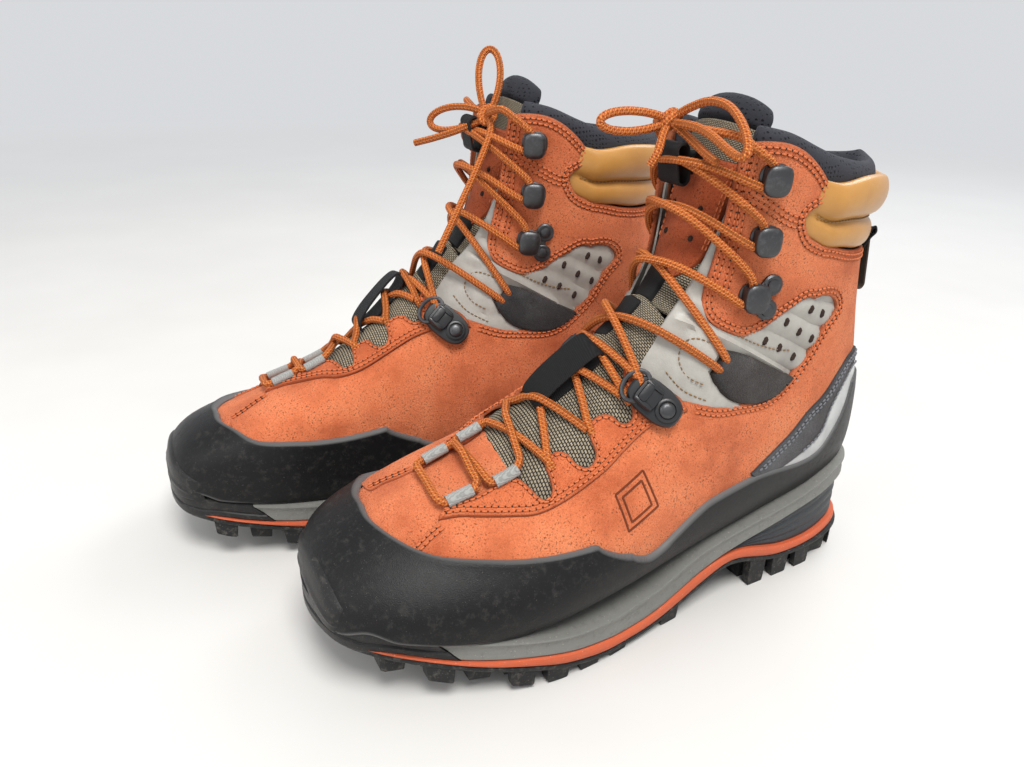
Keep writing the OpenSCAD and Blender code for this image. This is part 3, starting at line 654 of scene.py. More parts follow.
def metal(name, base, rough=0.38):
    """Dark plated steel, worn brighter in places."""
    n = Nodes(name)
    wear = n.ramp(n.noise(0.35, 5, 0.7), [(0.5, 0.0), (0.75, 1.0)])
    color = n.mix(n.times(wear, 0.5), base, tuple(min(1, 2.2 * c) for c in base))
    roughness = n.math("MULTIPLY_ADD", n.noise(1.5, 3, 0.6), 0.25, rough - 0.1)
    return n.done(color, roughness, n.bump(n.noise(3.0, 3, 0.6), 0.05, 0.4), Metallic=0.9)


def braid(name, base, dark, light, pitch=2.1):
    """Round braided cord: slanted strands from distances along and around it."""
    n = Nodes(name)
    along = n.math("DIVIDE", n.attribute("along"), pitch)
    around = n.attribute("around")
    turn = n.times(around, 4)  # strands round the cord
    up = n.wave(n.plus(along, turn))
    cross = n.times(up, n.wave(n.math("SUBTRACT", along, turn)))
    color = n.mix(n.ramp(n.half_up(cross), [(0.25, 0.0), (0.7, 1.0)]), dark, base)
    fleck = n.ramp(n.half_up(up), [(0.8, 0.0), (0.97, 1.0)])
    color = n.mix(n.times(fleck, 0.45), color, light)
    color = n.mix(n.times(n.noise(0.08, 3, 0.6), 0.35), color, dark)
    return n.done(color, 0.7, n.bump(cross, 0.35, 0.8), Specular_IOR_Level=0.3)


def plain(name, base, rough=0.6, grain=0.3):
    n = Nodes(name)
    color = n.mix(n.times(n.noise(0.2, 4, 0.6), 0.5), base, tuple(0.6 * c for c in base))
    return n.done(color, rough, n.bump(n.noise(1.6, 3, 0.6), 0.12 * grain, 0.5))


M = {
    "suede": suede("orange_suede", (0.74, 0.2, 0.08), (0.46, 0.092, 0.03), (0.86, 0.285, 0.125)),
    # the lace facings' suede is darker than the rest: partly its own darker nap, partly painted shade from
    # the laces over it
    "facing": suede("orange_suede_facing", (0.68, 0.165, 0.06), (0.4, 0.075, 0.023), (0.8, 0.23, 0.09)),
    "tongue_suede": suede("orange_suede_tongue", (0.45, 0.088, 0.027), (0.25, 0.04, 0.012),
                          (0.56, 0.13, 0.044)),
    "slate": suede("slate_suede", (0.085, 0.092, 0.105), (0.04, 0.044, 0.052), (0.14, 0.15, 0.165), 0.2),
    "strap": suede("charcoal_suede", (0.035, 0.036, 0.04), (0.01, 0.01, 0.013), (0.1, 0.1, 0.105), 0.2),
    "silver": leather("silver_leather", (0.5, 0.51, 0.5), (0.34, 0.34, 0.34), 0.4, 0.35),
    # rand: lip paints a highlight in lighter grey along its edges
    "rand": rubber("rand_rubber", (0.005, 0.005, 0.0055), 0.42, 0.8, 0.07, lip=0.95),
    "bumper": rubber("bumper_rubber", (0.013, 0.013, 0.0135), 0.42, 0.7, 0.14),
    "outsole": rubber("outsole_rubber", (0.013, 0.013, 0.0135), 0.55, 1.0, 0.3),
    "stripe": rubber("stripe_rubber", (0.43, 0.085, 0.034), 0.55, 0.6, 0.45, (0.26, 0.13, 0.09)),
    "midsole": rubber("midsole_foam", (0.15, 0.15, 0.138), 0.5, 0.7, 0.45, (0.085, 0.08, 0.072)),
    "insert": rubber("insert_rubber", (0.025, 0.029, 0.033), 0.45, 0.8, 0.12),
    "grey": leather("grey_leather", (0.4, 0.385, 0.35), (0.28, 0.265, 0.24), 0.5, 0.4),
    "gold": leather("gold_leather", (0.72, 0.38, 0.105), (0.55, 0.26, 0.06), 0.35, 0.32),
    "collar": knit("collar_mesh", (0.001, 0.001, 0.0015), (0.03, 0.031, 0.038), 0.5, 1.0),
    "padding": knit("tongue_mesh", (0.001, 0.001, 0.0015), (0.02, 0.021, 0.026), 0.5, 1.0),
    "check": woven("check_mesh", (0.014, 0.013, 0.012), (0.4, 0.34, 0.24), (1.35, 0.8), 0.17),
    "lining": knit("lining_fabric", (0.005, 0.005, 0.006), (0.02, 0.02, 0.024), 0.6, 0.4),
    "tape": ribbed("black_tape", (0.003, 0.003, 0.004), (0.014, 0.014, 0.015), 0.6, 0.15, 0.6),
    "webbing": ribbed("grey_webbing", (0.26, 0.26, 0.25), (0.48, 0.48, 0.46), 0.8, 0.3),
    "loop": ribbed("loop_webbing", (0.02, 0.015, 0.01), (0.09, 0.06, 0.04), 0.8, 0.3),
    "lace": braid("lace_cord", (0.62, 0.165, 0.03), (0.26, 0.05, 0.01), (0.9, 0.42, 0.12)),
    "steel": metal("hook_steel", (0.075, 0.076, 0.08)),
    "plate": plain("plate_plastic", (0.014, 0.015, 0.017), 0.36),
    "emblem": suede("pressed_suede", (0.42, 0.085, 0.026), (0.24, 0.045, 0.013), (0.5, 0.12, 0.04)),
    "thread": plain("orange_thread", (0.6, 0.15, 0.045), 0.7),
    "grey_thread": plain("grey_thread", (0.15, 0.155, 0.17), 0.7),
    "gold_thread": plain("gold_thread", (0.25, 0.14, 0.05), 0.7),
    "hole": plain("needle_hole", (0.025, 0.01, 0.006), 0.9),
    "felt": plain("footbed_felt", (0.045, 0.05, 0.06), 0.9, 1.0),
    "board": plain("board_fibre", (0.5, 0.42, 0.27), 0.8, 0.8),
    "stiffener": plain("stiffener", (0.66, 0.63, 0.54), 0.7, 0.5),
}

# ---- Edges of the upper: [station, angle from the ridge] ----

THROAT_OUTER = np.array([[4.8, 30], [5, 34], [5.4, 36], [6.2, 35], [7, 34], [7.5, 36], [9, 36], [16, 36]])
THROAT_INNER = np.array([[4.8, 4], [5, -3], [5.4, -11], [6.2, -15], [7, -25], [7.5, -32], [9, -36],
                         [16, -36]])


def to_inner(points):
    """The same edge on the inner side of the foot, shifted to that side's throat."""
    out = []
    for t, v in points:
        outer = np.interp(t, THROAT_OUTER[:, 0], THROAT_OUTER[:, 1])
        inner = np.interp(t, THROAT_INNER[:, 0], THROAT_INNER[:, 1])
        near = np.clip((100 - v) / 60, 0, 1)  # edges far from the throat stay where they are
        out.append([t, -(v - outer * near) + inner * near])
    return out


def edge(points, side):
    return [list(p) for p in points] if side > 0 else to_inner(points)


RAND_TOP_OUTER = [[2.79, 0], [2.79, 17], [3.12, 36], [3.62, 50], [4.42, 60], [4.92, 65], [5.5, 71],
                  [5.67, 73], [5.75, 77], [6.17, 93], [6.38, 98], [6.75, 95], [7.08, 93], [7.38, 93],
                  [8, 97], [8.38, 102], [8.83, 110], [9.25, 115], [10, 118.5], [10.75, 127],
                  [11.2, 133], [11.6, 150], [11.75, 180]]
RAND_TOP_INNER = [[2.79, 0], [2.83, -12], [3.12, -28], [3.55, -47], [4.3, -59], [4.92, -66],
                  [5.5, -71.5], [5.67, -73], [5.75, -77], [6.17, -92], [6.38, -97]]
RAND_TOP_INNER += mirrored(RAND_TOP_OUTER[11:], -1)
# Heights of the rim between sole and upper: [ahead of the heel, height]
FEATHER = [[299, 40.8], [290, 39], [276, 36.5], [262, 34], [236, 30], [219, 27], [198, 23.6],
           [175, 23], [150, 26], [125, 34.5], [112, 37.5], [85, 42], [57, 46.5], [33, 52],
           [10, 55.5], [-1, 55.8]]
VAMP_SEAM = [[3.02, 42], [3.3, 40.5], [3.55, 37.5], [3.8, 35.5]]
FACING_SEAM = [[3.8, 35.5], [4.1, 38], [4.4, 42], [4.8, 47], [5.1, 50.5], [5.5, 52], [6.1, 52],
               [6.5, 51], [6.9, 51], [7.25, 53], [7.62, 57]]
SCALLOPS = [
    [3.8, 35.5], [3.88, 32.6], [4.08, 31.8], [4.46, 33], [4.75, 32.6], [5, 33.6], [5.09, 36.5],
    [5.15, 41], [5.22, 46], [5.3, 47.6], [5.38, 46], [5.42, 41], [5.43, 37], [5.5, 34.6],
    [5.66, 35], [5.77, 38.5], [5.81, 43], [5.9, 46.4], [6.0, 46.8], [6.1, 44.5], [6.13, 39],
    [6.18, 35.2], [6.3, 34], [6.46, 35], [6.57, 38], [6.62, 42], [6.72, 44.2], [6.84, 43],
    [6.92, 38], [7.0, 31], [7.2, 26], [7.42, 27]]
QUARTER_TOP = [[7.42, 27], [7.36, 39], [7.62, 50], [7.83, 57.5], [8.12, 65], [8.46, 71], [8.96, 79],
               [9.54, 84], [10.2, 88], [10.9, 93], [11.5, 99.5], [11.86, 105], [12.06, 107.6],
               [12.16, 106], [12.12, 101], [11.92, 94], [11.62, 87.5], [11.1, 81], [10.46, 73],
               [9.96, 67], [9.54, 61], [9.25, 52], [9.14, 44], [9.3, 38.5], [9.7, 36.6]]
CUFF_FRONT = [[9.7, 36.6], [10.6, 37.5], [12, 38.5], [13.2, 38.5], [14.0, 40]]
CUFF_TOP = [[14.0, 40], [14.25, 46], [14.5, 56], [14.66, 66], [14.66, 75], [14.52, 83], [14.32, 88],
            [14.08, 89.6], [13.8, 87.6], [13.52, 83.5], [13.3, 81.3], [13.08, 82], [12.93, 85],
            [13.0, 90], [13.16, 98], [13.4, 112]]
CUFF_BACK = [[13.4, 112], [13.68, 128], [13.95, 146], [14.12, 164], [14.17, 180]]


def facing_segments(s):
    """Lace facing: the scalloped edge, its upper end and the seam."""
    scallops, top, seam = edge(SCALLOPS, s), edge(QUARTER_TOP[:4], s), edge(FACING_SEAM, s)
    return [scallops, [scallops[-1]] + top[1:3] + [seam[-1]], seam[::-1]]


def quarter_segments(s):
    """Quarters and cuff: one sheet from the lace facing to the back seam."""
    rand = RAND_TOP_OUTER if s > 0 else RAND_TOP_INNER
    first = 41 if s > 0 else 12
    tucked = [[t - 0.1 if abs(v) < 75 else t, v + s * (3.5 if abs(v) >= 75 else 0)]
              for t, v in rand if abs(v) > first and abs(v) < 150] + [[11.4, s * 168], [11.4, s * 180]]
    seam = edge(FACING_SEAM, s)
    under = [[t, v - s * 2.2] for t, v in seam]
    vamp = edge(VAMP_SEAM, s)
    top = edge(QUARTER_TOP, s)
    upper_corner, lower_corner = [7.45, top[2][1] - s * 3], [7.2, under[-2][1] - s * 3]
    return [
        tucked,
        [[11.4, s * 180], [14.17, s * 180]],
        edge(CUFF_BACK, s)[::-1],
        edge(CUFF_TOP, s)[::-1],
        edge(CUFF_FRONT, s)[::-1],
        top[::-1][:-3] + [upper_corner],
        [upper_corner, lower_corner],
        [lower_corner] + under[:-2][::-1],
        [under[0]] + vamp[::-1] + [tucked[0]],
    ]


PLAIN_RINGS = (0.5, 1.2)  # extra rows of points, in mm from an edge
STITCHED_RINGS = (0.5, 1.2, 2.2, 3.4, 4.6, 5.8)
QUARTER_LEVEL, FACING_LEVEL, OVERLAY_LEVEL = -1.0, 0.4, 0.2  # mm outside the last


def stitched_top(level, rows=(2.3, 4.6), depth=0.35):
    def height(tv, d):
        h = np.full(len(d), float(level))
        for r in rows:
            h -= depth * np.exp(-((d - r) / 0.55) ** 2)
        return h
    return height


def sheet(name, segments, top, inside, look, replaces=(), rings=PLAIN_RINGS, bulge=None,
          spacing=3.2, roll=1.0, body="blend"):
    verts, faces, rim, tv = panel_mesh(segments, top, inside, spacing, rings, roll, bulge)
    emit(name, (verts, faces), look, body, replaces,
         extra={"edge": rim, "up": tv[:, 0] * STATION_LENGTH})


# Rand: rubber band from the sole's rim to its lip


def rand_segments():
    outer, inner = ([p for p in side_to_tv(FEATHER, side) if p[0] > 0.25] for side in (1, -1))
    return [
        [[0.02, -178], [0.02, -90], [0.02, 0], [0.02, 90], [0.02, 178]],
        [[0.02, 178], [0.12, 150]] + outer + [[outer[-1][0], 180]],
        [[outer[-1][0], 180], [11.75, 180]],
        RAND_TOP_OUTER[::-1],
        RAND_TOP_INNER,
        [[11.75, -180], [inner[-1][0], -180]],
        ([[0.02, -178], [0.12, -150]] + inner + [[inner[-1][0], -180]])[::-1],
    ]


def rand_height(tv, d):
    lip = np.exp(-((d - 2.6) / 1.4) ** 2) * (tv[:, 0] < 6.6)
    return 1.1 + 0.5 * lip


sheet("rand", rand_segments(), rand_height, -1.6, "rand", ["rand"],
      (0.6, 1.6, 2.6, 4.0), None, 3.4, 1.8, "lower")

# Toe panel under the lace facings
toe_panel = [
    [[2.6, -26], [2.55, 0], [2.6, 22], [2.95, 44]],
    [[2.95, 44], [3.6, 42], [4.2, 45], [4.85, 46]],
    [[4.85, 46], [5.02, 34], [5.04, 12], [5.0, -14]],
    [[5.0, -14], [4.3, -16], [3.6, -16], [2.6, -26]],
]
sheet("toe_panel", toe_panel, -1.9, -3.2, "suede", ["vamp"])

for s, word in FLANKS:
    sheet(word + "_quarter", quarter_segments(s), stitched_top(QUARTER_LEVEL), -2.8, "suede",
          ["quarters", "cuff"] if s > 0 else (), STITCHED_RINGS)
    sheet(word + "_facing", facing_segments(s), stitched_top(FACING_LEVEL, (2.0, 4.2), 0.3), -1.1, "facing",
          (), STITCHED_RINGS)

# Grey flex panels at the ankle, padded, with channels and ventilation holes
def flex_segments(side):
    lower = [[7.12, 26], [7.2, 44], [7.5, 57], [8.0, 69], [8.7, 81], [9.5, 88.5], [10.6, 95],
             [11.6, 104], [12.25, 112]]
    upper = [[12.25, 112], [12.4, 103], [12.0, 92], [11.3, 80], [10.5, 70], [10.1, 64], [9.8, 54],
             [9.75, 44], [9.9, 31]]
    front = [[9.9, 31], [9.2, 28], [8.2, 25], [7.12, 24]]
    return [edge(lower, side), edge(upper, side), edge(front, side), edge([front[-1], lower[0]], side)]


def flex_bulge(side):
    """Height of the padding: ribs behind, a soft front with a pressed oval, and piping between."""
    strap = outline_tv(strap_segments(side)) * FLAT

    def bulge(tv, d):
        v = np.abs(tv[:, 1])
        r = tv[:, 0] - 0.022 * (v - 75)  # ribs slope with the ankle
        rear = 2.5 * np.abs(np.cos(math.pi * (r - 10.03) / 0.565)) ** 0.5 - 1.2
        front = 1.5 * np.sin(math.pi * np.clip((tv[:, 0] - 7.3) / 2.3, 0, 1)) * np.clip((v - 26) / 14, 0, 1)
        oval = ((tv[:, 0] - 8.48) / 0.52) ** 2 + ((v - 49) / 11) ** 2
        front = front + 1.2 * np.clip(1 - oval, 0, 1) ** 0.5 - 0.7 * np.exp(-((oval - 1) / 0.16) ** 2)
        piping = 1.6 * np.exp(-((r - 9.62) / 0.09) ** 2)
        share = np.clip((r - 9.55) / 0.15, 0, 1)
        lift = ((1 - share) * front + share * rear + piping) * np.clip((d - 1.5) / 3, 0, 1)
        return np.where(inside_polygon(tv * FLAT, strap), np.minimum(lift, 0), lift)
    return bulge


def strap_segments(side):
    strap = edge([[8.94, 55], [9.14, 60], [9.36, 67], [9.6, 76], [9.95, 88]], side)
    low = edge([[9.95, 88], [9.2, 83], [8.72, 77], [8.38, 68], [8.32, 60], [8.36, 55]], side)
    return [strap, low, [low[-1], strap[0]]]


def strap_bulge(tv, d):
    return 1.7 * np.clip((74 - np.abs(tv[:, 1])) / 16, 0, 1) * np.clip(d / 3, 0, 1) ** 0.5


for s, word in FLANKS:
    sheet(word + "_flex_panel", flex_segments(s), -2.5, -3.6, "grey",
          ["flex_panels"] if s > 0 else (), (0.6, 1.6), flex_bulge(s), 2.0)
    sheet(word + "_ankle_strap", strap_segments(s), 0.1, -2.4, "strap",
          (), (0.6, 1.6), strap_bulge, 2.2, 1.4)


# Heel: slate overlay, silver patch behind it and the gold back strip
OVERLAY_FRONT = [[8.02, 95.5], [8.4, 94.6], [8.9, 95], [9.7, 98], [10.5, 107.5], [11.25, 119.5],
                 [11.62, 129], [11.95, 145], [12.1, 180]]
OVERLAY_REAR = [[11.82, 180], [11.66, 145], [11.36, 131], [10.95, 122], [10.25, 112], [9.6, 110.5],
                [8.95, 107], [8.3, 104], [8.02, 101]]
PATCH_FRONT = [[8.25, 103.2], [8.6, 105], [9.0, 107.4], [9.6, 111], [10.25, 112.6], [10.95, 122.6],
               [11.36, 131.6], [11.66, 145.5], [11.8, 180]]
PATCH_REAR = [[11.5, 180], [11.3, 150], [10.9, 138], [10.4, 130], [9.8, 123], [9.0, 114.5],
              [8.6, 109.5], [8.25, 104.5]]


def between(a, b):
    """Outline from two lines, with straight ends."""
    return [a, [a[-1], b[0]], b, [b[-1], a[0]]]


for s, word in FLANKS:
    f, r, p, q = (mirrored(line, s) for line in (OVERLAY_FRONT, OVERLAY_REAR, PATCH_FRONT, PATCH_REAR))
    sheet(word + "_heel_overlay", between(f, r), stitched_top(OVERLAY_LEVEL, (2.0,), 0.3),
          -1.1, "slate", ["heel_overlay"] if s > 0 else (), STITCHED_RINGS)
    sheet(word + "_heel_patch", between(p, q), 0.0, -1.1, "silver")
strip = [[[12.15, 167], [12.15, 180], [12.15, 193]], [[12.15, 193], [13.3, 192]],
         [[13.3, 192], [13.3, 180], [13.3, 168]], [[13.3, 168], [12.15, 167]]]
sheet("back_strip", strip, stitched_top(0.4, (2.0,), 0.3), -1.1, "gold",
      ["back_strip"], STITCHED_RINGS)

# Throat: the check mesh that runs up to the tongue
flank = [[5.0, 42], [5.4, 50.5], [6.0, 50], [6.7, 48.5], [7.1, 44], [7.4, 36], [8.4, 30]]
inner_flank = to_inner(flank)[::-1]
mesh_rim = [
    [[4.72, -4], [4.7, 14], [4.74, 34]],
    [[4.74, 34]] + flank,
    [[8.4, 30], [8.5, 0], inner_flank[0]],
    inner_flank + [[4.72, -4]],
]


def mesh_bulge(tv, d):
    return 2.4 * np.clip(d / 18, 0, 1) ** 0.7


sheet("throat_mesh", mesh_rim, -3.3, -4.9, "check", ["throat_mesh"], PLAIN_RINGS, mesh_bulge)


def fold(tv, d):
    across = (np.abs(tv[:, 1]) - 25) / 19
    return -3.6 * (1 - across) + 1.5 * np.sin(math.pi * np.clip(across, 0, 1))


# Bellows between the tongue and the edges of the throat
for s, word in FLANKS:
    rim = [[[7.5, 24], [9, 27.5], [10.5, 33.5], [11.6, 38], [12.6, 41.5]], [[12.6, 41.5], [12.6, 45]],
           [[12.6, 45], [11, 44], [9.4, 44], [8.0, 38], [7.5, 34]], [[7.5, 34], [7.5, 24]]]
    sheet(word + "_bellows", [mirrored(line, s) for line in rim], -4.3, -5.4, "grey",
          (), PLAIN_RINGS, fold, 2.6)


# ---- Sole ----

SOLE = np.array([
    [300, -8], [296, 14], [286, 27], [268, 38.5], [243, 48.5], [214, 53.5], [186, 52], [163, 48],
    [130, 42.5], [100, 40], [70, 38.5], [40, 36.5], [20, 31], [8, 22], [2, 10], [0, 0], [2, -9],
    [8, -20], [20, -30], [40, -35.5], [70, -36.5], [100, -36], [130, -36.5], [160, -39.5],
    [186, -44.5], [214, -49], [243, -50.5], [268, -46.5], [286, -38.5], [296, -28]], float)
MIDSOLE_BASE = [[-20, 46], [21, 44], [43, 40.5], [69, 35.8], [96, 30.4], [110, 27.4], [123, 23],
                [135, 18], [148, 13.6], [161, 11.8], [174, 11.6], [198, 13.8], [218, 18],
                [236, 20.6], [262, 24.9], [290, 30], [320, 36]]
STRIPE_TOP = [[-20, 21], [10, 20], [32, 19], [46, 18.2], [58, 18.5], [69, 20.1], [81, 23.4],
              [92, 26.5], [106, 27.4]] + [[s, z - 0.2] for s, z in MIDSOLE_BASE[6:]]
OUTSOLE_TOP = [[-20, 16], [10, 15.5], [30, 14.4], [57, 13.7], [68, 14.7], [80, 17.4], [95, 22],
               [105, 22.9], [122, 15.8], [134, 11], [148, 7.2], [160, 5.6], [173, 5.6], [186, 6],
               [208, 9.9], [218, 13], [236, 16.8], [262, 22.9], [290, 28.4], [320, 34]]
GROUND = [[-20, 0], [205, 0], [214, 0.6], [230, 4], [245, 7.5], [260, 11], [280, 15.5], [320, 25]]
FEATHER_LINE = [[-20, 56]] + FEATHER[-2:0:-1] + [[320, 44]]


def smoothed(values, width, reach):
    """Values averaged with their neighbours within reach, by a bell curve of a width."""
    kernel = np.exp(-0.5 * (np.arange(-reach, reach + 1) / width) ** 2)
    return np.convolve(np.pad(values, reach, mode="edge"), kernel / kernel.sum(), "valid")


def level(line, smooth=5):
    """A height line as a smooth function of the distance ahead of the heel."""
    line = np.array(line, float)
    x = np.arange(-20, 321, 1.0)
    y = smoothed(np.interp(x, line[:, 0], line[:, 1]), smooth, 15)
    return lambda s: np.interp(s, x, y)


midsole_base, stripe_top, outsole_top = level(MIDSOLE_BASE), level(STRIPE_TOP), level(OUTSOLE_TOP)
feather, ground = level(FEATHER_LINE, 3), level(GROUND, 1)
sole_dense = smooth_path(SOLE, 0.05, closed=True)
sole_dense = resample(np.concatenate([sole_dense, sole_dense[:1]]), 1.0)
top_index = int(np.argmax(sole_dense[:-1, 0]))
sole_dense = np.concatenate([sole_dense[top_index:-1], sole_dense[:top_index + 1]])
heel_index = int(np.argmin(sole_dense[:, 0]))
sole_share = np.linspace(0, 1, len(sole_dense))
sole_step = unit(np.roll(sole_dense[:-1], -3, 0) - np.roll(sole_dense[:-1], 3, 0))
sole_out = np.stack([sole_step[:, 1], -sole_step[:, 0]], 1)  # outward, as [ahead, across]
if (sole_out * (sole_dense[:-1] - [150, 0])).sum(1).mean() < 0:
    sole_out = -sole_out
sole_out = np.concatenate([sole_out, sole_out[:1]])


def share_at(ahead, outer=True):
    """Share of the way round the sole where its edge is so far ahead of the heel."""
    half = slice(0, heel_index + 1) if outer else slice(heel_index, None)
    x, y = sole_dense[half, 0], sole_share[half]
    order = np.argsort(x)
    return float(np.interp(ahead, x[order], y[order]))


def sole_points(share, out):
    share = np.mod(share, 1.0)
    p = np.stack([np.interp(share, sole_share, sole_dense[:, k]) for k in range(2)], -1)
    n = np.stack([np.interp(share, sole_share, sole_out[:, k]) for k in range(2)], -1)
    p = p + np.asarray(out)[..., None] * unit(n)
    return p[..., 0], p[..., 1]


HEEL_TUCK = 2.2  # the sole is narrower than its plan at the heel
WALL_DEPTH = 12


def band(low, high, profile, part, ends, count, wave=None):
    """Wall round the heel or toe part of the sole, between two heights.
    profile holds [share of the height, distance out] and ends gives where the part stops."""
    rows = []
    for h, out in list(profile) + [[1.0, -WALL_DEPTH], [0.0, -WALL_DEPTH]]:
        a, b = share_at(ends(h)), share_at(ends(h), False)
        share = np.linspace(a, b, count) if part == "heel" else np.linspace(b, 1 + a, count)
        if out > -WALL_DEPTH:
            ahead, across = sole_points(share, 0)
            out = out - HEEL_TUCK * np.clip((70 - ahead) / 45, 0, 1) + (wave(share, h) if wave else 0)
        ahead, across = sole_points(share, out)
        lo, hi = low(ahead), high(ahead)
        rows.append(np.stack([across, HALF_LENGTH - ahead, lo + (hi - lo) * h], 1))
    return solid(np.stack(rows, 1))


rim_profile = [[0, 0.2], [0.1, 0.9], [0.3, 0.8], [0.55, 0.35], [0.76, 0.7], [0.9, 1.2], [0.97, 1.0], [1, 0.2]]
emit("midsole", band(lambda s: midsole_base(s) + 0.1, lambda s: feather(s) - 0.1, rim_profile,
     "heel", lambda h: 251 + 11 * h, 260), "midsole", "lower", ["midsole"])
emit("sole_stripe", band(lambda s: outsole_top(s) + 0.1, lambda s: stripe_top(s) - 0.05,
     [[0, 0.4], [0.2, 1.3], [0.5, 1.6], [0.85, 1.2], [1, 0.3]], "heel", lambda h: 286 - 6 * h, 260),
     "stripe", "lower", ["sole_stripe"])


def ribs(share, h):
    lens = np.clip(1 - np.abs(share - 0.36) / 0.075, 0, 1) + np.clip(1 - np.abs(share - 0.66) / 0.075, 0, 1)
    return 0.55 * np.abs(math.sin(4 * math.pi * h)) + 0.5 * lens * math.sin(math.pi * h)


emit("heel_insert", band(lambda s: stripe_top(s) + 0.05, lambda s: midsole_base(s) - 0.05,
     [[h, -1.7] for h in np.linspace(0, 1, 25)], "heel", lambda h: 112 - 4 * h, 150, ribs),
     "insert", "lower", ["heel_insert"])
toe_low = level([[240, 20.6], [262, 24.9], [276, 27.4], [282, 27.0], [286, 25.5], [300, 27], [320, 31]], 1.5)
emit("toe_block", band(toe_low, lambda s: feather(s) - 0.1,
     [[0, 0.3], [0.1, 1.1], [0.34, 1.2], [0.42, 0.5], [0.5, 1.1], [0.8, 1.3], [0.95, 1.5], [1, 0.6]], "toe",
     lambda h: 251.6 + 11 * h, 120), "bumper", "lower", ())


def sole_width(ahead):
    """Edges of the sole on the outer and inner side at a distance ahead of the heel."""
    outer, inner = sole_dense[:heel_index + 1], sole_dense[heel_index:]
    a = np.interp(ahead, outer[::-1, 0], outer[::-1, 1])
    b = np.interp(ahead, inner[:, 0], inner[:, 1])
    return a, b


def outsole_base():
    ahead = 150 - 149.6 * np.cos(np.linspace(0, math.pi, 90))
    rows = []
    for s in ahead:
        a, b = sole_width(s)
        zt = float(outsole_top(s))
        zb = zt - 3
        x = np.linspace(b, a, 9)
        loop = [[xx, zb] for xx in x] + [[a + 0.8, zt - 1.6], [a + 0.7, zt - 0.5]]
        loop += [[xx, zt] for xx in x[::-1]] + [[b - 0.7, zt - 0.5], [b - 0.8, zt - 1.6]]
        rows.append([[xx, HALF_LENGTH - s, z] for xx, z in loop])
    return solid(rows)


def clip_rectangle(poly, low, high):
    """Part of a polygon inside a rectangle."""
    for axis, bound, sign in ((0, low[0], 1), (0, high[0], -1), (1, low[1], 1), (1, high[1], -1)):
        out = []
        for i in range(len(poly)):
            p, q = poly[i - 1], poly[i]
            dp, dq = sign * (p[axis] - bound), sign * (q[axis] - bound)
            if (dp >= 0) != (dq >= 0):
                out.append(p + (q - p) * dp / (dp - dq))
            if dq >= 0:
                out.append(q)
        poly = out
        if len(poly) < 3:
            return []
    return poly


def lugs():
    parts = []
    inset = np.stack(sole_points(sole_share[:-1:3], -0.6), 1)
    rows = [(at, -45.5, 45) for at in range(12, 81, 17)] + [(at, -58.5, 57) for at in range(140, 291, 17)]
    for at, first, final in rows:
        for x in np.arange(first, final + 0.1, 13):
            low, high = np.array([at - 5.5, x + 1.5]), np.array([at + 5.5, x + 11.5])
            poly = clip_rectangle(list(inset), low, high)
            if len(poly) < 3:
                continue
            poly = np.array(poly)
            keep = np.linalg.norm(poly - np.roll(poly, 1, 0), axis=1) > 0.25
            poly = poly[keep]
            if len(poly) < 3 or abs(signed_area(poly)) < 14:
                continue
            middle = poly.mean(0)
            g, top = float(ground(middle[0])), float(outsole_top(middle[0])) - 1.2
            waist = g + 0.45 * (top - g)
            layers = []
            for z, scale in ((top, 1.04), (waist, 0.99), (g + 1.1, 0.93), (g + 0.3, 0.88), (g, 0.8)):
                ring = middle + (poly - middle) * scale
                zz = np.full(len(ring), z) if z < top else outsole_top(ring[:, 0]) - 1.2
                zz = zz + (ground(ring[:, 0]) - g) * (z < top)
                layers.append(np.stack([ring[:, 1], HALF_LENGTH - ring[:, 0], zz], 1))
            parts.append(solid(layers))
    return join(parts)


emit("outsole", outsole_base(), "outsole", "lower", ["outsole"], smooth=50)
emit("lugs", lugs(), "outsole", "lower", (), smooth=28)


def toe_bumper():
    """Rubber shield over the toe, found on the grown last by height and side."""
    t, v = np.meshgrid(np.linspace(0.02, 3.2, 130), np.arange(-178, 179, 1.6), indexing="ij")
    cloud = skin(t, v, 2.0).reshape(-1, 3)
    cloud = cloud[cloud[:, 1] < -105]
    nx, nz = 40, 26
    front, back = np.zeros((nx, nz, 3)), np.zeros((nx, nz, 3))
    for i in range(nx):
        a = 2 * i / (nx - 1) - 1
        x = -8 + 33 * a
        top = 58 - 10 * abs(a) ** 2.2
        low = 36 + 1.5 * abs(a) ** 2
        for j in range(nz):
            b = j / (nz - 1)
            z = low + (top - low) * b
            d2 = ((cloud[:, :1] - x) ** 2 + (cloud[:, 2:] - z) ** 2).sum(1)
            near = np.argpartition(d2, 14)[:14]
            w = 1 / (d2[near] + 0.3)
            y = (cloud[near, 1] * w).sum() / w.sum()
            rim = min(1, (1 - abs(a)) / 0.12, b / 0.06 + 0.4, (1 - b) / 0.14)
            lift = 1.8 * math.sqrt(max(0, 1 - (1 - rim) ** 2)) - 1.6
            ridge = 0.6 * math.exp(-((b - 0.42 + 0.1 * a * a) / 0.07) ** 2)
            front[i, j] = x, y - lift - ridge, z
            back[i, j] = x, y + 3.2, z
    section = np.concatenate([front, back[:, ::-1]], axis=1)
    return solid(section)


emit("toe_bumper", toe_bumper(), "bumper", "lower", (), smooth=60)


# ---- Stitches ----


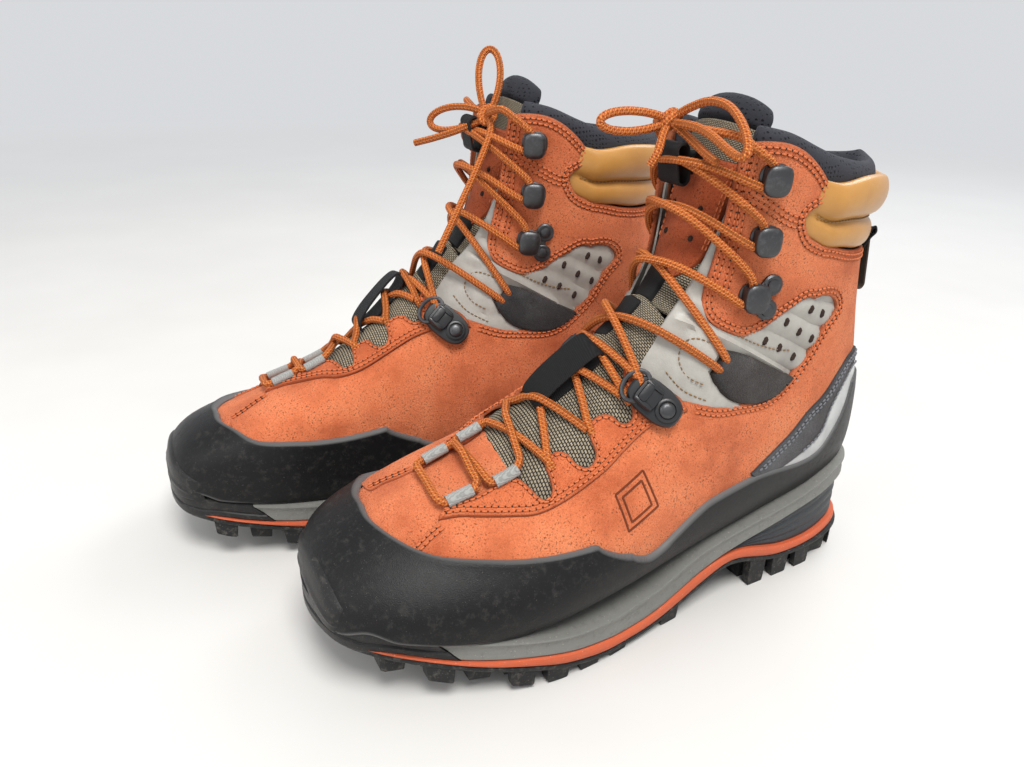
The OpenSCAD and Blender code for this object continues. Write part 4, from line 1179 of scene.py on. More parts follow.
def capsules(centres, directions, normals, length, radius, sides=5):
    """Many short rounded rods in one mesh."""
    directions = unit(directions)
    across = unit(np.cross(directions, normals))
    up = np.cross(across, directions)
    angle = full_turn(sides)
    ring = np.cos(angle)[:, None, None] * across + np.sin(angle)[:, None, None] * up
    ring = ring.transpose(1, 0, 2)
    layers = [(-0.5, 0.45), (-0.28, 1.0), (0.28, 1.0), (0.5, 0.45)]
    body = [centres[:, None] + length * f * directions[:, None] + radius * r * ring for f, r in layers]
    caps = [centres[:, None] + length * f * directions[:, None] for f in (-0.56, 0.56)]
    verts = np.concatenate(body + caps, axis=1)
    per = 4 * sides + 2
    one = []
    for k in range(3):
        for j in range(sides):
            a, b = k * sides + j, k * sides + (j + 1) % sides
            one.append((a, b, b + sides, a + sides))
    for j in range(sides):
        one.append((4 * sides, (j + 1) % sides, j))
        one.append((4 * sides + 1, 3 * sides + j, 3 * sides + (j + 1) % sides))
    faces = [tuple(i + n * per for i in f) for n in range(len(centres)) for f in one]
    return verts.reshape(-1, 3), faces


def stitch_row(tv, level, pitch):
    """Middle points, directions and normals of stitches along a path on the last."""
    height = level if callable(level) else lambda q: np.full(len(q), float(level))
    line = resample(tv, pitch, skin(tv[:, 0], tv[:, 1], 0.0))
    middle = 0.5 * (line[:-1] + line[1:])
    centre = skin(middle[:, 0], middle[:, 1], height(middle))
    ends = skin(line[:, 0], line[:, 1], height(line))
    return (centre, np.diff(ends, axis=0), normal(middle[:, 0], middle[:, 1]), ends[1:-1],
            normal(line[1:-1, 0], line[1:-1, 1]))


class Seams:
    """Collects rows of stitches, then makes one piece of thread and one of needle holes."""

    def __init__(self):
        self.rows = []

    def along(self, path, insets, level, rim=None, length=2.1):
        """Rows at distances from a path. With a rim, they lie inside it."""
        dense = smooth_path(path, 0.08)
        dense = resample(dense, 1.0, on_last(dense))
        base = on_last(dense)
        for inset in insets:
            row = inset_tv(dense, inset, False, 1)
            if rim is not None:
                flat = rim * FLAT
                choices = (row, inset_tv(dense, inset, False, -1))
                row = max(choices, key=lambda q: inside_polygon(q * FLAT, flat).sum())
                away = segment_distance(on_last(row), base[:-1], base[1:])
                row = row[inside_polygon(row * FLAT, flat) & (away > 0.85 * inset)]
            if len(row) > 6:
                self.rows.append(stitch_row(row, level, length + 0.8))

    def emit(self, name, look, body, slot, hole_look=None, radius=0.52, length=2.2):
        c, d, n, ends, up = (np.concatenate([r[k] for r in self.rows]) for k in range(5))
        emit(name, capsules(c + 0.2 * n, d, n, length, radius), look, body, (), smooth=0)
        if hole_look:
            ahead = np.cross(up, np.roll(up, 1, 1))
            emit(name + "_holes", capsules(ends + 0.02 * up, ahead, up, 0.8, 0.42), hole_look, body,
                 (), smooth=0)


orange, light = Seams(), Seams()
for s in (1, -1):
    rim = outline_tv(quarter_segments(s))
    for line in (QUARTER_TOP[3:], CUFF_FRONT, CUFF_TOP, CUFF_BACK[:-1]):
        orange.along(edge(line, s), (2.2, 4.4), QUARTER_LEVEL, rim)
    orange.along(mirrored([[10.0, 47], [11.2, 47.5], [12.6, 47], [13.9, 48]], s), (-1.1, 1.1), QUARTER_LEVEL)
    orange.along(mirrored([[12.78, 48], [12.83, 56], [12.88, 66], [12.94, 74], [13.12, 79.5]], s),
                 (-2.3, 0, 2.3), QUARTER_LEVEL)
    orange.along(edge(VAMP_SEAM, s), (2.0, 4.2), QUARTER_LEVEL, rim)
    facing = outline_tv(facing_segments(s))
    orange.along(edge(FACING_SEAM, s), (2.0, 4.2), FACING_LEVEL, facing)
    orange.along(edge(SCALLOPS, s), (1.7,), FACING_LEVEL, facing)
    front = mirrored(OVERLAY_FRONT[:-1] + [[12.1, 176]], s)
    rear = mirrored([[11.6, 145]] + OVERLAY_REAR[2:7], s)
    overlay = outline_tv(between(front, [[11.8, s * 176]] + rear))
    light.along(front, (2.0, 4.0), 0.25, overlay)
    light.along(rear, (1.6,), 0.25, overlay)
orange.emit("orange_stitches", "thread", "blend", "orange_suede", "hole")
light.emit("grey_stitches", "grey_thread", "blend", "slate_suede")
dark = Seams()
for s in (1, -1):
    bulge = flex_bulge(s)

    def on_panel(q, bulge=bulge):
        return -2.4 + bulge(q, np.full(len(q), 9.0))

    for line in ([[8.12, 55], [7.97, 48], [8.04, 41], [8.34, 38.5], [8.62, 42], [8.84, 50], [8.96, 56]],
                 [[7.7, 40], [7.75, 50], [8.0, 60]],
                 [[9.25, 52], [9.5, 60], [9.72, 68], [10.0, 76], [10.3, 83]]):
        dark.along(edge(line, s), (0,), on_panel, None, 1.6)
dark.emit("panel_stitches", "gold_thread", "blend", "grey_leather", None, 0.32, 1.6)

# Ventilation holes in the flex panels
holes = []
for s in (1, -1):
    bulge = flex_bulge(s)
    for t, v in ((11.46, 89), (11.62, 96), (10.71, 79), (10.79, 85.5), (10.92, 91), (9.95, 71), (10.12, 78),
                 (10.25, 85)):
        t0, v0 = np.array([t]), np.array([s * v], float)
        lift = -2.5 + bulge(np.array([[t, s * v]], float), np.array([9.0]))
        along, around = tangents(t0, v0)
        slant = along + 4 * s * around
        holes.append(capsules(skin(t0, v0, lift - 0.25), slant, normal(t0, v0), 3.9, 1.3, 8))
emit("vent_holes", join(holes), "hole", "blend", ())


def spot(t, v, d=0.0):
    """Frame on the last: origin, up the boot, away from the throat, outwards."""
    t, v = np.array([float(t)]), np.array([float(v)])
    n = normal(t, v)[0]
    along = tangents(t, v)[0][0]
    up = unit(along - n * np.dot(along, n))
    out = np.cross(n, up)
    if np.dot(out, last_point(t, v * 1.02)[0] - last_point(t, v)[0]) < 0:
        out = -out
    return skin(t, v, d)[0], up, out, n


def sizes_at(place):
    """Millimetres in one station and in one degree at a place on the last."""
    return np.array([np.linalg.norm(a) for a in tangents(place[:1], place[1:])])


# Plain diamond pressed into the outer side, over the instep
diamond = []
middle = np.array([6.35, 69.0])
for size in (12.5, 8.5):
    corners = [(size * math.cos(a), size * math.sin(a)) for a in (np.arange(5) + 0.5) * math.pi / 2]
    for a, b in zip(corners[:-1], corners[1:]):
        steps = np.array(a) + (np.array(b) - a) * np.linspace(0, 1, 14)[:, None]
        line = middle + steps / sizes_at(middle)
        diamond.append(tube(skin(line[:, 0], line[:, 1], -1.2), 0.6, 8)[:2])
emit("emblem", join(diamond), "emblem", "blend", ())


# ---- Padded collar and flex cuff ----


def around_leg(points, last, first=()):
    """Station as a smooth function of the angle from the ridge, for a line seen from the side.
    last is the station at the back and first holds (angle, station) pairs near the front."""
    pairs = sorted(list(first) + [(v, t) for t, v in side_to_tv(points)] + [(180, last)])
    v = np.arange(30, 331.0)
    t = smoothed(np.interp(180 - np.abs(v - 180), *zip(*pairs)), 5, 12)
    return lambda q: np.interp(np.abs(q), v[:151], t[:151])


rim_line = around_leg([[118, 230], [110, 229], [94, 226], [84, 221.5], [70, 216.5], [50, 212.5],
                       [28, 210]], 15.8)
base_line = around_leg([[135, 163], [120, 161], [90, 158], [60, 156], [30, 154]], 13.53)


def collar_section(v, taper):
    tr, tb = rim_line(v), base_line(v)
    tc = tr - 0.42
    out = [[tb + (tc - tb) * w, d] for w, d in
           ((0, -5.6), (0.2, -5.6), (0.4, -5.5), (0.6, -5.1), (0.75, -4.6), (0.88, -4.2))]
    out += [[tc + 0.42 * math.sin(a), -9.2 + 5.2 * math.cos(a)] for a in np.linspace(0.1, math.pi - 0.1, 9)]
    out += [[tb + (tc - tb) * w, d] for w, d in
            ((0.88, -14.2), (0.7, -13.4), (0.5, -12.2), (0.3, -11.2), (0, -10.4))]
    out = np.array(out)
    middle = out.mean(0)
    out = middle + (out - middle) * [1, taper]
    return skin(out[:, 0], v, out[:, 1])


angles = np.arange(46, 315, 3.0)
taper = np.clip(1 - (np.abs(angles - 180) - 124) / 12, 0.3, 1) ** 0.5
sections = [collar_section(signed(v), k) for v, k in zip(angles, taper)]
emit("collar", solid(sections), "collar", "cuff", ["collar"], subdivide=1)

low_line = around_leg([[60, 175.6], [49, 173.6], [35, 172.4], [22, 171.8]], 14.15,
                      [(70, 12.8), (84, 12.86), (90, 12.93), (98, 13.1), (107, 13.36)])
high_line = around_leg([[66, 205], [56, 207], [45, 207.5], [30, 206]], 15.5,
                       [(70, 14.2), (84, 14.3), (91, 14.45)])
RIDGE_SHARE = 0.4  # where the seam lies, as a share of the cuff's height


def gold_section(v):
    lo, hi = low_line(v), high_line(v)
    tuck = np.clip((abs(v) - 79) / 16, 0, 1)
    tuck = tuck * tuck * (3 - 2 * tuck)
    out = []
    for h in np.concatenate([np.linspace(0, RIDGE_SHARE, 8), np.linspace(RIDGE_SHARE, 1, 12)[1:]]):
        if h <= RIDGE_SHARE:
            swell = 3.0 * max(0, math.sin(math.pi * h / RIDGE_SHARE)) ** 0.6
        else:
            rise = 0.93 * (h - RIDGE_SHARE) / (1 - RIDGE_SHARE)
            swell = 5.4 * max(0, math.sin(math.pi * rise)) ** 0.55
        groove = 1.5 * math.exp(-((h - RIDGE_SHARE) / 0.05) ** 2)
        out.append([lo + (hi - lo) * h, -3.4 + (1.5 + swell - groove) * tuck])
    out += [[lo + (hi - lo) * h, -5.1] for h in (1, 0.66, 0.33, 0)]
    out = np.array(out)
    return skin(out[:, 0], v, out[:, 1])


angles = np.linspace(76, 284, 67)
emit("flex_cuff", solid([gold_section(signed(v)) for v in angles]), "gold", "cuff", ["flex_cuff"],
     subdivide=1)
gold = Seams()
for s in (1, -1):
    seam = [[low_line(v) * (1 - RIDGE_SHARE) + high_line(v) * RIDGE_SHARE, s * v]
            for v in np.arange(86, 180.1, 4)]
    gold.along(seam, (0,), -2.0, None, 1.7)
gold.emit("gold_stitches", "gold_thread", "cuff", "gold_leather", None, 0.38, 1.7)


# ---- Tongue ----

# Up the tongue: ahead of the heel, height, half width and thickness
TONGUE = np.array([[145, 154, 24, 6], [136, 168, 26, 8], [130, 184, 28, 9], [126, 200, 29, 9],
                   [122, 215, 30, 9], [118, 228, 31, 9], [113, 237, 31, 8], [106, 243, 30, 6]], float)
TONGUE_RISE = 9  # the padded top stands above the tongue's board
TONGUE_STEP = 15  # mm from one row of the table to the next
FACING_HALF = 37  # degrees


def tongue_at(k, a, lift):
    """Points on the tongue: place up it, angle across it and distance in front of it."""
    k, a, lift = np.broadcast_arrays(*(np.asarray(x, float) for x in (k, a, lift)))
    kk = np.clip(k, 0, 7)
    p = curve(TONGUE, kk)
    d = curve(TONGUE, np.minimum(kk + 0.1, 7)) - curve(TONGUE, np.maximum(kk - 0.1, 0))
    n = unit(np.stack([d[..., 1], -d[..., 0]], -1))
    step = unit(d[..., :2]) * ((k - kk) * 14)[..., None]
    r = p[..., 2] / math.sin(math.radians(52)) + lift
    off = lift + r * (np.cos(np.radians(a)) - 1)
    top = np.clip((k - 4.2) / 2.8, 0, 1)
    return np.stack([r * np.sin(np.radians(a)), HALF_LENGTH - p[..., 0] - step[..., 0] - n[..., 0] * off,
                     p[..., 1] + step[..., 1] - 5 * k / 7 + TONGUE_RISE * top * top * (3 - 2 * top)
                     + n[..., 1] * off], -1)


def tongue_pad():
    phi = full_turn(36)
    rows = []
    for k in np.concatenate([np.linspace(0, 5.4, 27), np.linspace(5.5, 7.05, 18)]):
        thick = curve(TONGUE, np.array(min(k, 7.0)))[3]
        middle = -7.7 - thick / 2
        roll = 1.4 if k > 5.5 else 1.0  # the padding is thicker above the top seam
        thick *= roll * math.sqrt(max(0.02, 1 - max(0, (k - 6.3) / 0.78) ** 2))
        thick *= math.sqrt(max(0.1, 1 - max(0, (0.5 - k) / 0.55) ** 2))
        pinch = 1.6 * math.exp(-((k - 5.52) / 0.12) ** 2)
        half = 45 + (3.5 if k > 5.5 else 0) - 9 * max(0, (k - 6.5) / 0.6) ** 2
        a = half * signed_power(np.cos(phi), 0.5)
        lift = middle + (thick / 2 - pinch) * signed_power(np.sin(phi), 0.75)
        rows.append(tongue_at(k, a, lift))
    return solid(rows)


emit("tongue", tongue_pad(), "padding", "tongue", ["tongue"], subdivide=1)


def tongue_sheet(name, k0, k1, half, top, low, look, replaces=(), middle=0):
    """Sheet sewn to the front of the tongue. half gives its half width in degrees up it."""
    rows, rim = [], []
    places = np.linspace(k0, k1, 26)
    for k in places:
        h = half(k)
        a = np.linspace(-h, h, 22)
        from_edge = np.minimum((h - np.abs(a)) * 0.62, np.minimum(k - k0, k1 - k) * TONGUE_STEP)
        lift = low + (top - low) * (0.3 + 0.7 * np.sqrt(np.clip(from_edge / 1.2, 0, 1)))
        rows.append(np.concatenate([tongue_at(k, middle + a, lift), tongue_at(k, middle + a[::-1], low)]))
        rim.append(np.concatenate([from_edge, from_edge[::-1]]))
    caps = [0, 0]  # the two points in the middle of the end caps
    emit(name, solid(rows), look, "tongue", replaces,
         extra={"edge": np.append(rim, caps),
                "up": np.append(np.repeat(places * TONGUE_STEP, len(rows[0])), caps)})


def arch(start, height, full):
    """Half width of a sheet whose lower end is rounded."""
    return lambda k: full * math.sqrt(max(0.02, 1 - max(0, (start + height - k) / height) ** 2))


tongue_sheet("tongue_mesh", -0.05, 1.5, lambda k: 40, -7.1, -8.6, "check")
tongue_sheet("tongue_band", 3.6, 5.5, lambda k: 43.5, -6.9, -8.6, "check")
tongue_sheet("tongue_facing", 0.8, 4.3, arch(0.8, 1.1, FACING_HALF), -5.9, -7.9, "tongue_suede",
             ["tongue_facing"])
tongue_sheet("tongue_label", 0.1, 1.25,
             lambda k: 15 * math.sqrt(max(0.05, 1 - max(0, (k - 0.8) / 0.47) ** 2)),
             -5.0, -7.2, "tape", (), -5)
rows = []
for angle in (FACING_HALF - 3, FACING_HALF - 6, 3 - FACING_HALF, 6 - FACING_HALF):
    path = resample(tongue_at(np.linspace(1.75, 4.15, 80), angle, -5.75), 2.9)
    middle = 0.5 * (path[1:] + path[:-1])
    rows.append(capsules(middle, np.diff(path, axis=0), unit(middle - [0, 80, 205]), 2.1, 0.42))
emit("tongue_stitches", join(rows), "thread", "tongue", (), smooth=0)
eyes = np.array([[1.95, 17], [2.75, 17], [1.95, -17], [2.75, -17]])
p = tongue_at(eyes[:, 0], eyes[:, 1], -5.95)
emit("tongue_holes", capsules(p, np.tile([0, 0.3, 1.0], (4, 1)), unit(p - [0, 80, 195]), 2.6, 1.2, 8),
     "hole", "tongue", ())


def band_loop(path, across, thickness, closed=True):
    """Flat band along a path; across is its half width as a vector."""
    p = np.array(path, float)
    d = path_directions(p, closed)
    across = np.broadcast_to(np.asarray(across, float), p.shape)
    n = unit(np.cross(d, across)) * thickness / 2
    section = [(-1, -0.6), (-0.97, -1), (0.97, -1), (1, -0.6), (1, 0.6), (0.97, 1), (-0.97, 1), (-1, 0.6)]
    pts = np.stack([p + a * across + b * n for a, b in section], 1)
    return solid(pts, closed)


def stadium(length, depth):
    """Closed rounded path in a plane, long in the second direction."""
    a = full_turn(40)
    r = depth / 2
    return np.stack([r * np.cos(a), np.sign(np.sin(a)) * (length / 2 - r) * (np.abs(np.sin(a)) > 0.02)
                     + r * np.sin(a)], 1)


def turned(a, b, angle):
    """Two coordinates turned by an angle."""
    c, s = math.cos(angle), math.sin(angle)
    return c * a - s * b, s * a + c * b


loop = stadium(17.5, 6.0)
y, z = turned(loop[:, 0], loop[:, 1], math.radians(8))
keeper = np.stack([np.full(len(loop), -3.0), 22.5 + y, 211 + z], 1)
emit("lace_keeper", band_loop(keeper, (7, 0, 0), 1.1), "tape", "tongue", ["lace_keepers"])
tag = np.array([[0, 33.5, 213], [0, 30.5, 215.8], [0, 28.4, 214.6], [0, 27.7, 211.5], [0, 28.6, 206.5]])
emit("keeper_root", band_loop(smooth_path(tag) + [-3, 0, 0], (6, 0, 0), 0.9, False), "tape", "tongue", ())

# Webbing loop over the throat and the flat label above it
spine = smooth_path([[5.72, 0.8], [5.78, 5.2], [6.1, 8.4], [6.6, 9.4], [6.96, 8.2], [7.02, 5.0], [6.8, 2.6],
                     [6.3, 2.0], [5.9, 1.4]], 0.1)
centre = skin(spine[:, 0], 10.0, spine[:, 1])
for side, lean in (("left", 2.2), ("right", -2.2)):  # both loops lean to the same side of the pair
    wide = skin(spine[:, 0], 17.0, spine[:, 1] - lean) - centre
    emit("throat_loop", band_loop(centre, 6.6 * unit(wide), 1.2, False), "tape", "lower", (),
         sides=(side,))
sheet("throat_label", [[[7.3, -15], [8.36, -13]], [[8.36, -13], [8.4, -3], [8.36, 7]], [[8.36, 7], [7.3, 5]],
                       [[7.3, 5], [7.26, -5], [7.3, -15]]], -0.6, -1.9, "tape")

# ---- Pull loop and tag at the heel ----

loop = stadium(30, 5.6)
tilt = math.radians(6)
pull = np.stack([np.zeros(len(loop)), 144.4 + loop[:, 0] - loop[:, 1] * math.sin(tilt),
                 157.2 + loop[:, 1] * math.cos(tilt)], 1)
emit("heel_loop", band_loop(pull, (7, 0, 0), 1.4), "loop", "heel_loop", ["heel_loop"])
fold = smooth_path([[13.9, -2.2], [14.1, 0.4], [14.22, 2.2], [14.32, 1.2], [14.2, -0.4]], 0.1)
centre = skin(fold[:, 0], 152.0, fold[:, 1] + 1.0)
wide = skin(fold[:, 0], 158.0, fold[:, 1] + 1.0) - centre
emit("heel_tag", band_loop(centre, 5.5 * unit(wide), 0.9, False), "tape", "cuff", ())


# ---- Hardware ----


def button(place, half_up, half_out, layers, power=2.6, count=28, shift=(0, 0), spin=0):
    """Stack of rounded outlines: layers holds [scale, height] from the bottom up."""
    origin, up, out, n = place
    a = full_turn(count)
    u = half_up * signed_power(np.sin(a), 2 / power)
    w = half_out * signed_power(np.cos(a), 2 / power)
    rows = []
    for scale, height in layers:
        uu, ww = turned(u * scale + shift[0], w * scale + shift[1], math.radians(spin))
        rows.append(origin + uu[:, None] * up + ww[:, None] * out + height * n)
    return solid(rows)


HOOKS = [(10.5, 60), (12, 61), (13.62, 60)]  # stations and angles
REACH_T, REACH_V = 0.48, 14  # from a hook to where its strands leave it
DOME = [(0.5, 5.2), (0.93, 5.2), (1, 5.6), (1, 6.3), (0.93, 7.0), (0.7, 7.6), (0.35, 7.9)]
EAR = [(0.95, 0), (1, 0.5), (1, 1.8), (0.85, 2.4)]
EAR_RIVET = [(1, 2.2), (0.9, 3.0), (0.5, 3.4)]
parts = []
for s in (1, -1):
    for i, (t, v) in enumerate(HOOKS):
        place = spot(t, s * v, -1.3)
        parts.append(button(place, 6.6, 5.8, DOME, 3.0))
        parts.append(button(place, 4.6, 1.1, [(1, 0.3), (1, 3), (1.1, 5.6)], 4, shift=(0, -4.4)))
        parts.append(button(place, 6.2, 6.6, [(0.96, 0), (1, 0.4), (1, 1.1), (0.9, 1.5)], 2.6))
        if i == 0:  # the lowest hook stands on a riveted plate
            for shift in ((5.6, 8.4), (-5.6, 8.0)):
                parts.append(button(place, 4.8, 4.8, EAR, 2, shift=shift))
                parts.append(button(place, 3.0, 3.0, EAR_RIVET, 2, 20, shift))
            parts.append(button(place, 7.5, 3.6, [(0.95, 0), (1, 0.5), (1, 1.6), (0.9, 2.1)], 2.4,
                                shift=(0, 5.6)))
emit("lace_hooks", join(parts), "steel", "cuff", ["lace_hooks"], smooth=38)

LOCK_SPIN = -8  # degrees
# Stacked shapes of a lace lock: half sizes, layers, power, count and shift
LOCK_PLATE = [
    (8.2, 13.2, [(0.94, 0), (1, 0.8), (1, 2.1), (0.94, 3.0), (0.8, 3.2)], 2.7, 40, (0, 0)),
    (6.0, 5.4, [(1, 3.0), (1, 4.8), (0.94, 5.6), (0.8, 5.8)], 4.5, 32, (0, -4.4)),
    (4.4, 2.2, [(1, 5.4), (1, 6.4), (0.9, 7.2), (0.7, 7.4)], 4, 24, (0, -6.2)),
    (1.0, 4.6, [(1, 5.5), (1, 6.3), (0.8, 6.7)], 4, 16, (-4.4, -4.4)),
    (1.0, 4.6, [(1, 5.5), (1, 6.3), (0.8, 6.7)], 4, 16, (4.4, -4.4)),
    (5.4, 5.4, [(1, 2.8), (1, 4.0), (0.9, 4.4), (0.74, 4.4), (0.7, 3.6)], 2, 32, (0, 6.2)),
]
LOCK_RIVET = (3.5, 3.5, [(1, 2.8), (1, 4.7), (0.85, 5.3), (0.45, 5.6)], 2, 28, (0, 6.2))
plates, wires, studs = [], [], []
for s in (1, -1):
    place = spot(7.22, s * 45, 1.2)
    plates += [button(place, *shape, LOCK_SPIN) for shape in LOCK_PLATE]
    studs.append(button(place, *LOCK_RIVET, LOCK_SPIN))
    origin, up, out, n = place
    a = full_turn(32)
    u, w = turned(7.4 * np.sin(a), -11.0 + 5.2 * np.cos(a), math.radians(LOCK_SPIN))
    ring = origin + u[:, None] * up + w[:, None] * out + (2.2 + 1.2 * np.cos(a))[:, None] * n
    wires.append(tube(ring, 1.1, 8, True)[:2])
emit("lock_plates", join(plates), "plate", "lower", ["lock_plates"], smooth=38)
emit("lock_wires", join(wires), "steel", "lower", ())
emit("lock_rivets", join(studs), "steel", "lower", ["lock_rivets"], smooth=38)

# Webbing tubes that carry the lace over the toe
tubes = []
for t0, v0, t1 in ((4.02, 31, 4.42), (4.74, 32.5, 5.1), (4.02, 0, 4.4), (4.62, -2, 4.98)):
    t = np.linspace(t0, t1, 12)
    middle = skin(t, v0, 1.9)
    up = normal(t, np.full(12, float(v0)))
    side = np.cross(path_directions(middle), up)
    a = full_turn(20)[:, None]
    sections = []
    for radius, order in ((2.6, 1), (1.95, -1)):
        for i in range(12)[::order]:
            rib = 1 + 0.03 * math.cos(i * math.pi)
            oval = 1.1 * np.cos(a) * side[i] + 0.85 * np.sin(a) * up[i]
            sections.append(middle[i] + radius * rib * oval)
    tubes.append(solid(sections, True))
emit("toe_loops", join(tubes), "webbing", "lower", ["webbing_loops"])


# ---- Laces ----

LACE_RADIUS = 1.85


def lace(points):
    """Lace through places on the last: [station, angle, distance]."""
    path = smooth_path(points, 0.08)
    return tube(resample(skin(path[:, 0], path[:, 1], path[:, 2]), 1.3), LACE_RADIUS)


def free_lace(points):
    """Lace through points in the boot's frame."""
    return tube(resample(smooth_path(points, 0.08), 1.3), LACE_RADIUS)


def crossing(start, end, middle, over=0.0):
    """Strand from one side to the other; middle is its distance from the last at the ridge
    and over lifts it above the strand that it crosses."""
    out = []
    for f in np.linspace(0, 1, 7):
        t, v = start[0] + (end[0] - start[0]) * f, start[1] + (end[1] - start[1]) * f
        ends = start[2] + (end[2] - start[2]) * f
        share = min(1, abs(v - 0.5 * (start[1] + end[1])) / (0.5 * abs(start[1] - end[1]))) ** 1.4
        out.append([t, v, middle + (ends - middle) * share + over * math.exp(-(((f - 0.5) / 0.2) ** 2))])
    return out


lower = [
    lace([[4.5, 31, 1.9], [4.2, 31, 1.9], [4.0, 31, 1.9], [3.9, 27, 2.6], [3.88, 16, 1.8], [3.88, 4, 2.6],
          [3.98, 0, 1.9], [4.2, 0, 1.9], [4.45, 0, 1.9]]),
    lace([[4.4, 31, 1.9]] + crossing((4.52, 29, 2.6), (4.54, 1, 2.4), 3.4, 2.4)
         + [[4.62, -2, 1.9], [5.0, -2, 1.9]]),
    lace([[4.3, 0, 1.9]] + crossing((4.5, 2, 2.4), (4.66, 30, 2.4), 2.6, 0)
         + [[4.74, 32.4, 1.9], [5.1, 32.5, 1.9]]),
    lace([[4.95, -2, 1.9]] + crossing((5.08, 0, 2.4), (5.5, 37, 0.6), 1.9, 0) + [[5.52, 40, -1.4]]),
    lace([[5.05, 32.5, 1.9]] + crossing((5.18, 30, 2.4), (5.5, -10, 1.2), 1.9, 3.4) + [[5.55, -14, -1.0]]),
]
ZIGZAG = (
    ((5.5, 36, 0.8), (6.15, -13, 0.8), 0), ((5.5, -10, 0.8), (6.15, 36, 0.8), 3.8),
    ((6.2, 35, 0.8), (6.9, -21, 0.8), 0), ((6.2, -13, 0.8), (6.85, 35, 0.8), 3.8),
    ((6.9, 35, 0.8), (7.25, -36, 3.4), -0.4), ((6.95, -22, 0.8), (7.25, 36.5, 3.4), 3.4),
)
for start, end, over in ZIGZAG:  # each strand comes out from under the facing
    tuck = 4 if start[1] > 0 else -4
    lower.append(lace([[start[0], start[1] + tuck, -1.6]] + crossing(start, end, 1.8, over)))
lower.append(lace(crossing((7.2, 37.5, 3.6), (8.52, -54.5, 0.7), 1.9, 3.6) + [[8.56, -58.5, -1.2]]))
lower.append(lace(crossing((7.2, -36.5, 3.6), (8.52, 54.5, 0.7), 1.9, 0) + [[8.56, 58.5, -1.2]]))
mesh = join(lower)
emit("lace_lower", mesh[:2], "lace", "blend", ["lace_lower"],
     extra={"along": mesh[2], "around": mesh[3]})


def upper_strands():
    strands = []
    for s in (1, -1):
        for i, (t, v) in enumerate(HOOKS):
            turn = [[t + 0.4 * math.sin(a), s * (v - 6.5 + 5.6 * math.cos(a)), 2.2]
                    for a in np.radians([-80, -45, 0, 45, 80])]
            over = 3.6 if (s > 0) == (i % 2 == 0) else 0
            before, angle = HOOKS[i - 1]
            start = (before + REACH_T, -s * (angle - REACH_V), 1.8) if i else (8.84, -s * 54.5, 0.9)
            low = crossing(start, (t - REACH_T, s * (v - REACH_V), 1.8), -2.2, over)
            if i == 0:
                low = [[8.78, -s * 58.5, -1.2]] + low
            strands.append(lace(low + turn + [[t + REACH_T, s * (v - REACH_V), 1.8]]))
    return strands


def bow_loop(knot, tip, bulge, arch=(0, 0, 0)):
    """Rounded loop from the knot to its tip and back. bulge opens it and arch lifts its middle."""
    u = np.linspace(0, 2 * math.pi, 15)[:, None]
    out = (1 - np.cos(u)) / 2
    wide = np.sin(u) * np.sin(u / 2) ** 0.6
    lift = np.sin(math.pi * out)
    return knot + (np.array(tip) - knot) * out + np.array(bulge) * wide + np.array(arch) * lift


# The knots and bows lie differently on the two boots. Points are in a boot's own frame.
BOWS = {
    "left": {
        "knot": (-8, 22, 228),
        "loops": [((-14, -10, 228), (0, 0, 5)), ((39, 24, 220), (1, 3, 7), (0, 2, 8))],
        "tails": [[(-6, 21, 228), (3, 24, 222.5), (16, 23, 217.5), (24, 22.5, 215)],
                  [(-8, 21.5, 227.5), (-3.5, 15.5, 222.5), (-0.5, 11.5, 216.5), (-1.5, 8.5, 210.5)]]},
    "right": {
        "knot": (-11, 28, 221),
        "loops": [((2, 34.5, 252.5), (3, -6, 1)), ((13, 4, 216), (0, 1, 7))],
        "tails": [[(-11.5, 28.5, 220), (-3.5, 15.5, 213), (5.5, 4.5, 208), (13.5, -4.5, 204.5)],
                  [(-12, 27, 220.5), (-19.5, 27, 214.5), (-27, 17.5, 198), (-31.5, 7.5, 181.5),
                   (-37, -7.5, 156.5)]]},
}
for side in SIDES:
    parts = upper_strands()
    bow = BOWS[side]
    knot = np.array(bow["knot"], float)
    for path in [bow_loop(knot, *shape) for shape in bow["loops"]] + bow["tails"]:
        parts.append(free_lace(path))
    for shift, height in ((-1.3, 3.4), (1.3, 2.38)):  # two turns of lace make the knot
        a = full_turn(16)
        ring = knot + np.stack([1.6 * np.cos(a) + shift, 3.4 * np.sin(a),
                                height * np.cos(a) + 1.5 * np.sin(a)], 1)
        parts.append(tube(np.concatenate([ring, ring[:2]]), 2.0))
    for s in (1, -1):
        t, v = HOOKS[2]
        off_hook = np.array([9, 15, 24])  # degrees from the hook towards the knot
        start = skin([t + 0.44, t + 0.52, t + 0.6], s * (v - off_hook), [2.2, 1.8, 1.6])
        parts.append(free_lace(list(start) + [0.55 * start[-1] + 0.45 * knot + [0, -2.0, 0], knot]))
    mesh = join(parts)
    emit("lace_upper", mesh[:2], "lace", "cuff", ["lace_upper"],
         extra={"along": mesh[2], "around": mesh[3]}, sides=(side,))


# ---- Inside the boot ----

insole = level([[-20, 56.4], [10, 55.9], [33, 52.4], [57, 46.9], [85, 42.6], [112, 40.4], [135, 38],
                [160, 35], [190, 32.2], [215, 30.6], [236, 31], [262, 35], [290, 39.6], [320, 44.6]])
BOARD_TOP = 2.1


